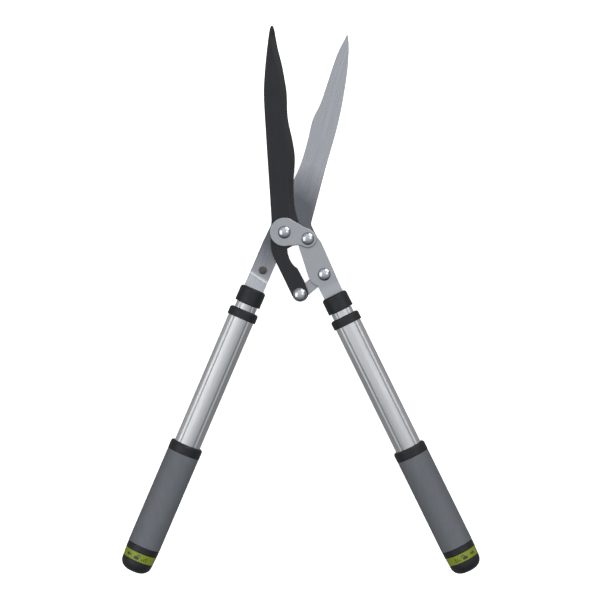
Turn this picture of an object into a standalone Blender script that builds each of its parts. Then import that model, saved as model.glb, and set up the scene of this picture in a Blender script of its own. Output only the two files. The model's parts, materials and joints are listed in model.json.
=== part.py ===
"""Telescopic hedge shears with a compound action, as an assembly of separate pieces.

The shears lie open on their back: +Z is up out of the front face and +Y is towards the blade tips.
Lengths are in millimetres up to the point where a mesh is made, and in metres from there on.
The left handle, the silver lower blade, the pivot plate and the two bolts through it are one fixed
frame. The right handle's arm plate turns about the side pivot, and a short link carries that motion
to the tail of the black upper blade, which turns about the main pivot.
"""

import math

import bmesh
import bpy
from mathutils import Matrix, Vector

MM = 0.001
GAP = 0.3  # clearance between pieces that touch
WELD = 0.00001  # metres
CUTTER_REACH = 20.0  # how far a cutter runs to each side of the shear plane

# Pivots in the shear plane, from the main pivot
MAIN_PIVOT = Vector((0.0, 0.0))
SIDE_PIVOT = Vector((27.8, -7.7))
ARM_LINK_PIVOT = Vector((47.4, -49.9))
BLADE_LINK_PIVOT = Vector((18.4, -74.2))

# Layers through the thickness, from the plane where the two blades meet
SHEET = 3.5
BACK_TOP = -0.2
BACK_BASE = BACK_TOP - SHEET
MIDDLE_BASE = 0.2
MIDDLE_TOP = MIDDLE_BASE + SHEET
PLATE_BASE = MIDDLE_TOP + GAP
PLATE_TOP = PLATE_BASE + 3.0
PLATE_CHAMFER = 0.7
HANDLE_HEIGHT = 3.45  # of the handle axes: both tangs are bent forwards to it

# Bolts, washers and lock nuts, size M6
SHANK = 3.0
BORE = SHANK + GAP
HEAD_RADIUS = 8.0
HEAD_HEIGHT = 3.5
NECK_HALF = 3.0
NECK_LENGTH = 2.6
WASHER_RADIUS = 7.0
WASHER_THICKNESS = 1.2
NUT_ACROSS_FLATS = 10.0
NUT_HEIGHT = 6.0
NUT_CHAMFER = 0.6
NUT_COLLAR_HEIGHT = 1.6
NUT_COLLAR_RADIUS = 4.8
NUT_TOP = BACK_BASE - 2 * GAP - WASHER_THICKNESS
SHANK_CHAMFER = 0.6
SHANK_END = NUT_TOP - NUT_HEIGHT - 0.8

# Play of the link's open pivot, which takes up what a constant coupling ratio leaves over
LINK_PLAY = 1.4
LINK_HALF_WIDTH = 7.0

# Blades
EDGE_LAND = 0.4
UPPER_BEVEL = 6.6
LOWER_BEVEL = 6.0
BEVEL_FADE = 4  # points of the outline over which a bevel starts and ends
HEEL_RELIEF = 14.4
SIDE_EAR_RADIUS = 11.5
ARM_END_RADIUS = 10.8
TAIL_END = Vector((18.8, -73.0))
TAIL_END_RADIUS = 9.6
ARM_LOBE = Vector((46.8, -46.5))
ARM_LOBE_RADIUS = 19.0

# Handles: where each axis passes its pivot, its angle from -Y, and where its ferrule starts from there
HANDLES = {
    "left": {"foot": Vector((-6.4, 2.8)), "angle": -23.15, "ferrule": 75.9},
    "right": {"foot": Vector((26.1, -8.5)), "angle": 26.2, "ferrule": 73.6},
}

# Bends of each tang on its way to the ferrule: station, rise there, rounding along the tang, and how
# far the bend's line runs askew
BENDS = {
    "left": ((-16.5, 0.0, 0.9, 0.17), (-12.5, 1.9, 0.9, 0.17), (-0.7, 5.4, 1.2, 0.0)),
    "right": ((-12.0, 0.0, 2.4, 0.0), (-0.7, 1.5, 1.2, 0.0)),
}
BEND_CUTS = 18
TANG_HALF = 12.2
TONGUE_HALF = 9.0
TONGUE_START = 14.0
TONGUE_END = 58.0

# Stations along a handle, from the top of its ferrule
FERRULE_END = 19.8
FERRULE_ROUNDING = 3.4
PLUG_END = 62.0
PLUG_CHAMFER = 1.0
PIN_STATION = 48.0
PIN_RADIUS = 2.0
COLLAR_START = 27.6
COLLAR_END = 38.6
COLLAR_LIP = 3.3
COLLAR_ROUNDING = 3.0
GRIP_START = 200.9
TOP_RING_SHOULDER = ((0.0, 2.4), (0.8, 0.7), (2.2, 0.0))  # how far in from the side, and down from the top
SLEEVE_START = 212.5
SLEEVE_END = 331.5
BASE_RING_END = 339.0
LOCK_RING_END = 349.6
CAP_LENGTH = 14.2
CAP_FULLNESS = 2.6
CAP_STEPS = 7
CAP_FLAT_STEPS = 2
SOCKET_DEPTH = 6.0
INNER_TUBE_END = 268.0
OUTER_TUBE_END = 335.0
LOCK_PLUG_START = 252.0
LOCK_FLANGE = 3.0
CAM_THICKNESS = 10.0
SPINDLE_START = 76.0
END_BUSH_START = 318.0
HUB_START = 313.5
CLIP_THICKNESS = 1.0
CLIP_HALF_OPENING = 28
CLIP_WIDTH = 2.25

# Radii of the handle's pieces
FERRULE_RADIUS = 15.7
COLLAR_RADIUS = 17.8
INNER_TUBE_RADIUS = 13.0
INNER_TUBE_WALL = 1.2
OUTER_TUBE_RADIUS = 16.0
OUTER_TUBE_WALL = 1.4
COLLAR_BLANK_BORE = 9.0
TOP_RING_RADIUS = 19.9
GRIP_RADIUS = 19.7
BASE_RING_RADIUS = 19.5
LOCK_RING_RADIUS = 19.4
LOCK_RING_TAPER = 0.6
NECK_RADIUS = 15.5
HUB_RADIUS = 5.5
CLIP_GROOVE = 0.6
CLIP_PLAY = 0.2
BUSH_RADIUS = 13.3
CAM_RADIUS = 12.8
CAM_OFFSET = 0.4
SPINDLE_HALF = 2.5

# Flutes of the drawn tubes: four shallow grooves, two above and two below
FLUTE_ANGLES = (54.0, 126.0, 234.0, 306.0)
FLUTE_HALF_WIDTH = 9.0
FLUTE_DEPTH = 0.9
TUBE_POINTS = 60

# Rubber stop on the lower blade's tang
BUFFER = Vector((-25.7, -45.2))
BUFFER_RADIUS = 4.7
BUFFER_STEM = 2.2
BUFFER_SIDE_TOP = 2.8
BUFFER_CROWN = 1.6
BUFFER_BARB = 1.0
BUFFER_FOOT_LENGTH = 2.2

PARTS = "hedge_shears"
CUTTERS = "cutters"


# ---------------------------------------------------------------- scene, materials and placing


def clear_scene():
    for item in list(bpy.data.objects):
        bpy.data.objects.remove(item)
    for name in (PARTS, CUTTERS):
        group = bpy.data.collections.new(name)
        bpy.context.scene.collection.children.link(group)


def material(name, colour, roughness, metallic):
    """A Principled material. The colour is given as display values from 0 to 255."""
    found = bpy.data.materials.get(name)
    if found:
        return found
    made = bpy.data.materials.new(name)
    made.use_nodes = True
    shader = made.node_tree.nodes["Principled BSDF"]
    linear = [((value / 255 + 0.055) / 1.055) ** 2.4 for value in colour]
    shader.inputs["Base Color"].default_value = (*linear, 1)
    shader.inputs["Roughness"].default_value = roughness
    shader.inputs["Metallic"].default_value = metallic
    made.diffuse_color = (*linear, 1)
    return made


def black_steel():
    return material("black_coated_steel", (46, 46, 50), 0.45, 0.3)


def blade_steel():
    return material("brushed_blade_steel", (168, 172, 180), 0.35, 1.0)


def plate_steel():
    return material("satin_plated_steel", (170, 171, 174), 0.5, 0.8)


def bright_steel():
    return material("chromed_steel", (205, 206, 210), 0.12, 1.0)


def aluminium():
    return material("brushed_aluminium", (190, 191, 194), 0.3, 1.0)


def black_plastic():
    return material("black_plastic", (38, 40, 42), 0.45, 0.0)


def grip_foam():
    return material("grey_grip", (98, 101, 106), 0.85, 0.0)


def green_plastic():
    return material("green_plastic", (140, 152, 44), 0.5, 0.0)


def rubber():
    return material("buffer_rubber", (58, 56, 54), 0.8, 0.0)


def natural_nylon():
    return material("white_nylon", (205, 203, 195), 0.55, 0.0)


def empty(name, parent=None, location=(0, 0, 0), rotation=(0, 0, 0)):
    """An empty at a place given in millimetres."""
    made = bpy.data.objects.new(name, None)
    bpy.data.collections[PARTS].objects.link(made)
    made.empty_display_size = 0.02
    made.parent = parent
    made.location = Vector(location) * MM
    made.rotation_euler = rotation
    return made


def link(name, data, parent, location=(0, 0, 0), group=PARTS):
    made = bpy.data.objects.new(name, data)
    bpy.data.collections[group].objects.link(made)
    made.parent = parent
    made.location = Vector(location) * MM
    if group == CUTTERS:
        made.hide_render = True
        made.display_type = "WIRE"
    return made


def smooth_shaded(item, angle=35):
    item.data.shade_smooth()
    item.data.set_sharp_from_angle(angle=math.radians(angle))
    return item


def boolean(item, cutter, operation="DIFFERENCE"):
    modifier = item.modifiers.new(f"{operation}_{cutter.name}", "BOOLEAN")
    modifier.operation = operation
    modifier.solver = "EXACT"
    modifier.object = cutter
    return item


def bevel(item, width):
    modifier = item.modifiers.new("bevel", "BEVEL")
    modifier.width = width * MM
    modifier.segments = 1
    modifier.limit_method = "ANGLE"
    modifier.angle_limit = math.radians(50)
    return item


# ---------------------------------------------------------------- plane outlines, in millimetres


def arc(centre, radius, start, end, steps):
    """Points on a circle from one angle to another, in degrees, both ends included."""
    angles = [math.radians(start + (end - start) * i / steps) for i in range(steps + 1)]
    return [Vector((centre[0] + radius * math.cos(a), centre[1] + radius * math.sin(a))) for a in angles]


def circle(centre, radius, points=24):
    """Points all round a circle, with none of them twice."""
    return arc(centre, radius, 0, 360 - 360 / points, points - 1)


def smooth(points, steps=3):
    """A Catmull-Rom curve through the points, both ends included."""
    knots = [Vector(p) for p in points]
    ends = [knots[0] * 2 - knots[1], *knots, knots[-1] * 2 - knots[-2]]
    path = []
    for a, b, c, d in zip(ends, ends[1:], ends[2:], ends[3:]):
        slope = c - a
        square = 2 * a - 5 * b + 4 * c - d
        cube = 3 * b - a - 3 * c + d
        for i in range(steps):
            t = i / steps
            path.append(b + 0.5 * (slope * t + square * t**2 + cube * t**3))
    return [*path, knots[-1]]


def on_handle(side, across, station):
    """A point of the shear plane from a handle's own measures: across its axis, and along it."""
    handle = HANDLES[side]
    turn = math.radians(handle["angle"])
    along = Vector((math.sin(turn), -math.cos(turn)))
    sideways = Vector((math.cos(turn), math.sin(turn)))
    return handle["foot"] + along * (handle["ferrule"] + station) + sideways * across


def tang_tongue(side):
    """The end of a tang inside the ferrule, from its left edge round to its right edge."""
    places = [
        (-TANG_HALF, TONGUE_START),
        (-TONGUE_HALF, TONGUE_START),
        (-TONGUE_HALF, TONGUE_END),
        (TONGUE_HALF, TONGUE_END),
        (TONGUE_HALF, TONGUE_START),
        (TANG_HALF, TONGUE_START),
    ]
    return [on_handle(side, across, station) for across, station in places]


def upper_blade_outline():
    """The black blade, its heel and its tail lever, clockwise. Returns the cutting edge and the rest."""
    edge = smooth(
        [
            (-13.2, 245.0),
            (-11.4, 238.7),
            (-7.9, 219.7),
            (-3.1, 200.6),
            (0.5, 181.6),
            (2.9, 165.0),
            (4.2, 136.0),
            (10.2, 107.0),
            (12.6, 86.4),
            (10.9, 58.0),
            (11.8, 33.0),
            (16.5, 12.3),
        ]
    )
    heel = arc(MAIN_PIVOT, HEEL_RELIEF, 24, -42, 8)
    heel += [Vector((9.4, -16.5)), Vector((6.4, -18.0)), Vector((3.5, -19.5))]
    tail_right = smooth([(4.3, -25.6), (7.0, -33.0), (11.2, -39.2), (15.6, -42.6)])
    tail_right.append(Vector((23.6, -57.6)))
    tail_end = arc(TAIL_END, TAIL_END_RADIUS, 18, -154, 12)
    tail_left = smooth([(-8.7, -38.0), (-12.6, -29.5), (-15.6, -19.8), (-16.3, -5.0), (-15.4, 15.0)])
    spine = smooth(
        [
            (-16.8, 38.8),
            (-21.5, 110.2),
            (-24.3, 157.8),
            (-23.9, 181.6),
            (-21.5, 210.2),
            (-18.0, 238.7),
            (-16.0, 245.0),
            (-14.8, 246.0),
        ]
    )
    return edge, heel + tail_right + tail_end + tail_left + spine


def lower_blade_outline():
    """The silver blade, its ear for the side pivot and the left tang, anticlockwise from the tip."""
    edge = smooth(
        [
            (74.1, 235.0),
            (71.3, 229.2),
            (62.1, 210.2),
            (49.3, 172.1),
            (42.7, 153.0),
            (33.6, 134.0),
            (27.6, 109.0),
            (19.5, 81.6),
            (8.6, 57.5),
            (-6.0, 28.0),
            (-13.5, 14.0),
        ]
    )
    left = [on_handle("left", -TANG_HALF, -55.0), *tang_tongue("left")]
    crotch = smooth([on_handle("left", TANG_HALF, -56.0), (-1.6, -17.2), (4.0, -15.4), (16.0, -13.2)])
    ear = arc(SIDE_PIVOT, SIDE_EAR_RADIUS, -130, 14, 12)
    spine = smooth(
        [
            (32.4, 7.9),
            (32.2, 12.0),
            (34.2, 19.8),
            (49.3, 76.9),
            (65.0, 134.0),
            (74.3, 186.4),
            (76.8, 217.3),
            (76.1, 232.2),
            (75.2, 235.2),
        ]
    )
    return edge, left + crotch + ear + spine


def arm_plate_outline():
    """The right arm plate, anticlockwise: round the side pivot, down past the link, and its tang."""
    end = arc(SIDE_PIVOT, ARM_END_RADIUS, 38, 186, 12)
    flank = [Vector((17.0, -16.9)), Vector((28.8, -53.7))]
    lobe = arc(ARM_LOBE, ARM_LOBE_RADIUS, 204, 246, 5)
    notch = [on_handle("right", -TANG_HALF, -18.6)]
    right = smooth(
        [
            on_handle("right", 12.4, -10.0),
            on_handle("right", 14.3, -56.4),
            on_handle("right", 14.1, -66.0),
            on_handle("right", 12.6, -71.4),
            on_handle("right", 9.6, -75.6),
        ]
    )
    return end + flank + lobe + notch + tang_tongue("right") + right


def pivot_plate_outline():
    """A plate with a large round end at the main pivot and a small one at the side pivot."""
    large = arc((0.0, 0.3), 17.2, 56, 286, 20)
    lower = smooth([(10.0, -16.1), (15.8, -15.5), (20.4, -16.2)], 4)
    small = arc(SIDE_PIVOT, 10.7, -114, 56, 12)
    upper = smooth([(29.6, 4.2), (22.8, 6.8), (15.9, 10.8)], 4)
    return large + lower + small + upper


def bar_outline(first, second, radius):
    """A bar with round ends about two points."""
    along = math.degrees(math.atan2(second.y - first.y, second.x - first.x))
    return arc(second, radius, along - 90, along + 90, 12) + arc(first, radius, along + 90, along + 270, 12)


def tube_section(radius):
    """A fluted circle of TUBE_POINTS points."""
    section = []
    for i in range(TUBE_POINTS):
        angle = 360 * i / TUBE_POINTS
        away = min(abs(angle - flute) for flute in FLUTE_ANGLES)
        dip = math.cos(math.pi / 2 * min(away / FLUTE_HALF_WIDTH, 1)) ** 2 * FLUTE_DEPTH
        turn = math.radians(angle)
        section.append(Vector(((radius - dip) * math.cos(turn), (radius - dip) * math.sin(turn))))
    return section


def square_section(half):
    return [Vector((half * x, half * y)) for x, y in ((-1, -1), (1, -1), (1, 1), (-1, 1))]


# ---------------------------------------------------------------- solids


def flat(name, outlines, low, high, parent, origin=(0, 0), group=PARTS):
    """A flat solid from a filled 2D curve: an outline and any holes, between two heights."""
    curve = bpy.data.curves.new(name, "CURVE")
    curve.dimensions = "2D"
    curve.fill_mode = "BOTH"
    curve.extrude = (high - low) / 2 * MM
    for outline in outlines:
        spline = curve.splines.new("POLY")
        spline.points.add(len(outline) - 1)
        for point, place in zip(spline.points, outline):
            point.co = ((place[0] - origin[0]) * MM, (place[1] - origin[1]) * MM, 0, 1)
        spline.use_cyclic_u = True
    shaped = link(name + "_curve", curve, parent, (0, 0, (low + high) / 2), group)
    depsgraph = bpy.context.evaluated_depsgraph_get()
    mesh = bpy.data.meshes.new_from_object(shaped.evaluated_get(depsgraph))
    location = Vector(shaped.location) / MM
    bpy.data.objects.remove(shaped)
    bpy.data.curves.remove(curve)
    work = bmesh.new()
    work.from_mesh(mesh)
    bmesh.ops.remove_doubles(work, verts=work.verts, dist=WELD)
    bmesh.ops.recalc_face_normals(work, faces=work.faces)
    work.to_mesh(mesh)
    work.free()
    mesh.name = name
    return link(name, mesh, parent, location, group)


def ground_blade(name, edge, rest, levels, parent):
    """A blade lofted through its levels, each a height and how far the cutting edge is ground back."""
    work = bmesh.new()
    outline = edge + rest
    rows = []
    for height, setback in levels:
        row = []
        for i, place in enumerate(outline):
            shifted = place.copy()
            if 0 < i < len(edge):
                ahead = edge[min(i + 1, len(edge) - 1)] - edge[i - 1]
                inward = Vector((-ahead.y, ahead.x)).normalized()
                fade = min(i / BEVEL_FADE, 1) * min((len(edge) - 1 - i) / BEVEL_FADE, 1)
                shifted += inward * setback * fade
            row.append(work.verts.new((shifted.x * MM, shifted.y * MM, height * MM)))
        rows.append(row)
    for lower, upper in zip(rows, rows[1:]):
        for i in range(len(outline)):
            j = (i + 1) % len(outline)
            work.faces.new((lower[i], lower[j], upper[j], upper[i]))
    caps = [work.faces.new(rows[0]), work.faces.new(rows[-1])]
    for cap in caps:
        cap.normal_update()
    bmesh.ops.triangulate(work, faces=caps, ngon_method="EAR_CLIP")
    bmesh.ops.recalc_face_normals(work, faces=work.faces)
    mesh = bpy.data.meshes.new(name)
    work.to_mesh(mesh)
    work.free()
    return link(name, mesh, parent)


def tang_rise(side, across, station):
    """How far a tang has come forwards at a place: straight runs between its bends, each rounded."""
    knots = [(place + askew * across, rise, rounding) for place, rise, rounding, askew in BENDS[side]]
    slopes = [0.0]
    slopes += [(b[1] - a[1]) / (b[0] - a[0]) for a, b in zip(knots, knots[1:])]
    slopes.append(0.0)
    rise = 0.0
    for (place, _, rounding), before, after in zip(knots, slopes, slopes[1:]):
        past = station - place
        rise += (after - before) * max(past, 0)
        rise += (after - before) * max(rounding - abs(past), 0) ** 2 / (4 * rounding)
    return rise


def bend_tang(item, side, origin=(0, 0)):
    """Bends a tang forwards, so that it enters its ferrule at the height of the handle's axis."""
    base = on_handle(side, 0, 0) - Vector(origin)
    turn = math.radians(HANDLES[side]["angle"])
    along = Vector((math.sin(turn), -math.cos(turn), 0))
    sideways = Vector((math.cos(turn), math.sin(turn), 0))
    start = Vector((*base, 0)) * MM
    first, last = BENDS[side][0], BENDS[side][-1]
    low = first[0] - first[2]
    high = last[0] + last[2]
    work = bmesh.new()
    work.from_mesh(item.data)
    for i in range(BEND_CUTS + 1):
        share = i / BEND_CUTS
        station = low + (high - low) * share
        normal = along - sideways * first[3] * (1 - share)
        geometry = work.verts[:] + work.edges[:] + work.faces[:]
        place = start + along * station * MM
        bmesh.ops.bisect_plane(work, geom=geometry, plane_co=place, plane_no=normal, dist=1e-7)
    for vertex in work.verts:
        offset = (Vector((vertex.co.x, vertex.co.y, 0)) - start) / MM
        vertex.co.z += tang_rise(side, offset.dot(sideways), offset.dot(along)) * MM
    work.to_mesh(item.data)
    work.free()
    return item


def cylinder(name, radius, low, high, parent, location=(0, 0, 0), sides=32, group=CUTTERS):
    """An upright cylinder, or a prism with fewer sides, between two heights."""
    work = bmesh.new()
    middle = Matrix.Translation((0, 0, (low + high) / 2 * MM))
    bmesh.ops.create_cone(
        work,
        cap_ends=True,
        segments=sides,
        radius1=radius * MM,
        radius2=radius * MM,
        depth=(high - low) * MM,
        matrix=middle,
    )
    mesh = bpy.data.meshes.new(name)
    work.to_mesh(mesh)
    work.free()
    return link(name, mesh, parent, location, group)


def block(name, size, centre, parent, group=CUTTERS):
    """A box of a given size about its centre."""
    work = bmesh.new()
    bmesh.ops.create_cube(work, size=1, matrix=Matrix.Diagonal((*(Vector(size) * MM), 1)))
    mesh = bpy.data.meshes.new(name)
    work.to_mesh(mesh)
    work.free()
    return link(name, mesh, parent, centre, group)


def turned(name, profile, parent, steps=28, ring=True, location=(0, 0, 0), group=PARTS):
    """A solid turned about its own Z axis, from (radius, height) points.

    The profile runs down the outer side from the greatest height. A ring's profile comes back up
    its bore and closes on itself, and a full solid's profile starts and ends on the axis.
    """
    work = bmesh.new()
    points = [work.verts.new((radius * MM, 0, height * MM)) for radius, height in profile]
    for first, second in zip(points, points[1:]):
        work.edges.new((first, second))
    if ring:
        work.edges.new((points[-1], points[0]))
    mesh = bpy.data.meshes.new(name)
    work.to_mesh(mesh)
    work.free()
    made = link(name, mesh, parent, location, group)
    screw = made.modifiers.new("screw", "SCREW")
    screw.axis = "Z"
    screw.angle = math.tau
    screw.steps = steps
    screw.render_steps = steps
    screw.use_merge_vertices = True
    screw.merge_threshold = WELD
    screw.use_smooth_shade = True
    return made


def quarter(steps):
    """Angles from 0 to a quarter turn."""
    return [math.pi / 2 * i / steps for i in range(steps + 1)]


def paint(item, made):
    item.data.materials.clear()
    item.data.materials.append(made)
    return item


# ---------------------------------------------------------------- blades, plates and link


def drill(item, name, places, parent, radius=BORE):
    """Bores a blade or plate at places of the shear plane, given from the parent's origin."""
    for i, place in enumerate(places):
        cutter = cylinder(f"{name}_bore_{i}", radius, -CUTTER_REACH, CUTTER_REACH, parent, (*place, 0))
        boolean(item, cutter)


def pin_hole(side, item, frame):
    """The hole for the cross pin, through whatever the handle holds at that station."""
    name = f"{item.name}_pin_hole"
    place = (0, 0, PIN_STATION)
    cutter = cylinder(name, PIN_RADIUS + GAP, -CUTTER_REACH, CUTTER_REACH, frame, place, 12)
    cutter.rotation_euler = (math.pi / 2, 0, 0)
    boolean(item, cutter)


def make_lower_blade(root, frames):
    edge, rest = lower_blade_outline()
    levels = [(BACK_BASE, LOWER_BEVEL), (BACK_TOP - EDGE_LAND, 0), (BACK_TOP, 0)]
    blade = ground_blade("lower_blade", edge, rest, levels, root)
    bend_tang(blade, "left")
    drill(blade, "lower_blade", [MAIN_PIVOT, SIDE_PIVOT], root)
    drill(blade, "lower_blade_buffer", [BUFFER], root, BUFFER_STEM + GAP)
    pin_hole("left", blade, frames["left"])
    paint(blade, blade_steel())


def make_upper_blade(pivot):
    edge, rest = upper_blade_outline()
    levels = [(MIDDLE_BASE, 0), (MIDDLE_BASE + EDGE_LAND, 0), (MIDDLE_TOP, -UPPER_BEVEL)]
    blade = ground_blade("upper_blade", edge, rest, levels, pivot)
    drill(blade, "upper_blade", [MAIN_PIVOT], pivot)
    neck = NECK_HALF + GAP
    neck_size = (2 * neck, 2 * neck, 2 * CUTTER_REACH)
    boolean(blade, block("upper_blade_neck", neck_size, (*BLADE_LINK_PIVOT, 0), pivot))
    paint(blade, black_steel())


def make_arm_plate(pivot, frames):
    square = [ARM_LINK_PIVOT + corner for corner in square_section(NECK_HALF + GAP)]
    outlines = [arm_plate_outline(), circle(SIDE_PIVOT, BORE), square]
    plate = flat("right_arm_plate", outlines, MIDDLE_BASE, MIDDLE_TOP, pivot, SIDE_PIVOT)
    bend_tang(plate, "right", SIDE_PIVOT)
    pin_hole("right", plate, frames["right"])
    paint(plate, plate_steel())


def make_pivot_plate(root):
    neck = square_section(NECK_HALF + GAP)
    squares = [[place + corner for corner in neck] for place in (MAIN_PIVOT, SIDE_PIVOT)]
    plate = flat("pivot_plate", [pivot_plate_outline(), *squares], PLATE_BASE, PLATE_TOP, root)
    bevel(plate, PLATE_CHAMFER)
    paint(plate, plate_steel())


def make_drive_link(pivot):
    outlines = [
        bar_outline(ARM_LINK_PIVOT, BLADE_LINK_PIVOT, LINK_HALF_WIDTH),
        circle(ARM_LINK_PIVOT, BORE),
        circle(BLADE_LINK_PIVOT, BORE + LINK_PLAY),
    ]
    bar = flat("drive_link", outlines, BACK_BASE, BACK_TOP, pivot, ARM_LINK_PIVOT)
    paint(bar, plate_steel())


def make_buffer(root):
    """A push-in rubber stop: a domed head, a stem through the tang and a barbed foot."""
    dome = [(BUFFER_RADIUS * math.sin(a), BUFFER_SIDE_TOP + BUFFER_CROWN * math.cos(a)) for a in quarter(4)]
    head_base = BACK_TOP + GAP
    foot_top = BACK_BASE - GAP
    profile = [
        *dome,
        (BUFFER_RADIUS, head_base),
        (BUFFER_STEM, head_base),
        (BUFFER_STEM, foot_top),
        (BUFFER_STEM + BUFFER_BARB, foot_top),
        (BUFFER_STEM - BUFFER_BARB, foot_top - BUFFER_FOOT_LENGTH),
        (0, foot_top - BUFFER_FOOT_LENGTH),
    ]
    buffer = turned("stop_buffer", profile, root, 20, False, (*BUFFER, 0))
    paint(buffer, rubber())


# ---------------------------------------------------------------- bolts, washers and nuts


def make_fastener(name, parent, place, seat):
    """A dome-headed bolt with a square neck, its washer and its lock nut, under a given seat height."""
    head_base = seat + GAP
    ball = (HEAD_RADIUS**2 + HEAD_HEIGHT**2) / (2 * HEAD_HEIGHT)
    spread = math.asin(HEAD_RADIUS / ball)
    top = head_base + HEAD_HEIGHT
    angles = [spread * i / 4 for i in range(5)]
    dome = [(ball * math.sin(a), top - ball + ball * math.cos(a)) for a in angles]
    profile = [
        *dome,
        (SHANK, head_base),
        (SHANK, SHANK_END + SHANK_CHAMFER),
        (SHANK - SHANK_CHAMFER, SHANK_END),
        (0, SHANK_END),
    ]
    bolt = turned(name + "_bolt", profile, parent, 24, False, (*place, 0))
    neck_size = (2 * NECK_HALF, 2 * NECK_HALF, NECK_LENGTH)
    neck = block(name + "_neck", neck_size, (*place, head_base + 0.1 - NECK_LENGTH / 2), parent)
    boolean(bolt, neck, "UNION")
    paint(bolt, bright_steel())
    washer_top = BACK_BASE - GAP
    outlines = [circle(place, WASHER_RADIUS), circle(place, BORE, 18)]
    washer = flat(name + "_washer", outlines, washer_top - WASHER_THICKNESS, washer_top, parent)
    paint(washer, bright_steel())
    make_nut(name + "_nut", parent, place)


def make_nut(name, parent, place):
    """A hexagon lock nut: a turned barrel trims the hexagon's corners and leaves its round collar."""
    corner_radius = NUT_ACROSS_FLATS / 2 / math.cos(math.pi / 6)
    base = NUT_TOP - NUT_HEIGHT
    sized = cylinder(name, corner_radius, base, NUT_TOP, parent, (*place, 0), 6, PARTS)
    collar_top = base + NUT_COLLAR_HEIGHT
    barrel_profile = [
        (0, NUT_TOP + 1),
        (NUT_ACROSS_FLATS / 2 - 1, NUT_TOP + 1),
        (corner_radius + GAP, NUT_TOP - NUT_CHAMFER),
        (corner_radius + GAP, collar_top + NUT_CHAMFER),
        (NUT_COLLAR_RADIUS, collar_top),
        (NUT_COLLAR_RADIUS, base + NUT_CHAMFER),
        (NUT_COLLAR_RADIUS - 2 * NUT_CHAMFER, base - NUT_CHAMFER),
        (0, base - NUT_CHAMFER),
    ]
    barrel = turned(name + "_barrel", barrel_profile, parent, 18, False, (*place, 0), CUTTERS)
    boolean(sized, barrel, "INTERSECT")
    boolean(sized, cylinder(name + "_bore", BORE, -CUTTER_REACH, CUTTER_REACH, parent, (*place, 0), 18))
    paint(sized, bright_steel())


# ---------------------------------------------------------------- telescopic handles


def rounded_shoulder(radius, rounding, start):
    """The rounded upper corner of a turned piece, whose top is at the given station."""
    return [
        (radius - rounding * (1 - math.cos(a)), start + rounding * (1 - math.sin(a))) for a in quarter(3)
    ]


def make_ferrule(side, frame):
    """The plastic head that the tang enters, with its plug inside the inner tube."""
    plug_radius = INNER_TUBE_RADIUS - INNER_TUBE_WALL - GAP - FLUTE_DEPTH
    profile = [
        (0, PLUG_END),
        (plug_radius - PLUG_CHAMFER, PLUG_END),
        (plug_radius, PLUG_END - PLUG_CHAMFER),
        (plug_radius, FERRULE_END),
        (FERRULE_RADIUS, FERRULE_END),
        *rounded_shoulder(FERRULE_RADIUS, FERRULE_ROUNDING, 0),
        (0, 0),
    ]
    ferrule = turned(f"{side}_ferrule", profile, frame, 32, False)
    depth = SHEET + 2 * GAP
    mouth_size = (2 * (TANG_HALF + GAP), depth, TONGUE_START + GAP + 2)
    mouth = block(f"{side}_ferrule_mouth", mouth_size, (0, 0, (TONGUE_START + GAP) / 2 - 1), frame)
    boolean(ferrule, mouth)
    slot_size = (2 * (TONGUE_HALF + GAP), depth, TONGUE_END + GAP)
    slot = block(f"{side}_ferrule_slot", slot_size, (0, 0, (TONGUE_END + GAP) / 2), frame)
    boolean(ferrule, slot)
    pin_hole(side, ferrule, frame)
    paint(ferrule, black_plastic())


def make_tang_pin(side, frame):
    length = INNER_TUBE_RADIUS - GAP
    pin = cylinder(f"{side}_tang_pin", PIN_RADIUS, -length, length, frame, (0, 0, PIN_STATION), 16, PARTS)
    pin.rotation_euler = (math.pi / 2, 0, 0)
    smooth_shaded(pin)
    paint(pin, bright_steel())


def make_tube(name, radius, wall, start, end, frame):
    tube = flat(name, [tube_section(radius), tube_section(radius - wall)], start, end, frame)
    smooth_shaded(tube)
    return paint(tube, aluminium())


def make_lock(side, frame, lock):
    """The eccentric lock at the inner tube's end: a plug, and a cam that the spindle turns."""
    bore = HUB_RADIUS + GAP
    plug_radius = INNER_TUBE_RADIUS - INNER_TUBE_WALL - GAP - FLUTE_DEPTH
    flange_start = INNER_TUBE_END + GAP
    cam_start = flange_start + LOCK_FLANGE + GAP
    profile = [
        (BUSH_RADIUS, flange_start + LOCK_FLANGE),
        (BUSH_RADIUS, flange_start),
        (plug_radius, flange_start),
        (plug_radius, LOCK_PLUG_START),
        (bore, LOCK_PLUG_START),
        (bore, flange_start + LOCK_FLANGE),
    ]
    paint(turned(f"{side}_lock_plug", profile, frame, 20), natural_nylon())
    square = square_section(SPINDLE_HALF + GAP)
    disc = [circle((CAM_OFFSET, 0), CAM_RADIUS, 30), square]
    cam = flat(f"{side}_lock_cam", disc, cam_start, cam_start + CAM_THICKNESS, lock)
    hub_outlines = [circle((0, 0), HUB_RADIUS), square]
    hub = flat(f"{side}_cam_hub", hub_outlines, LOCK_PLUG_START, cam_start + 1, lock, (0, 0), CUTTERS)
    boolean(cam, hub, "UNION")
    paint(cam, natural_nylon())


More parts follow.
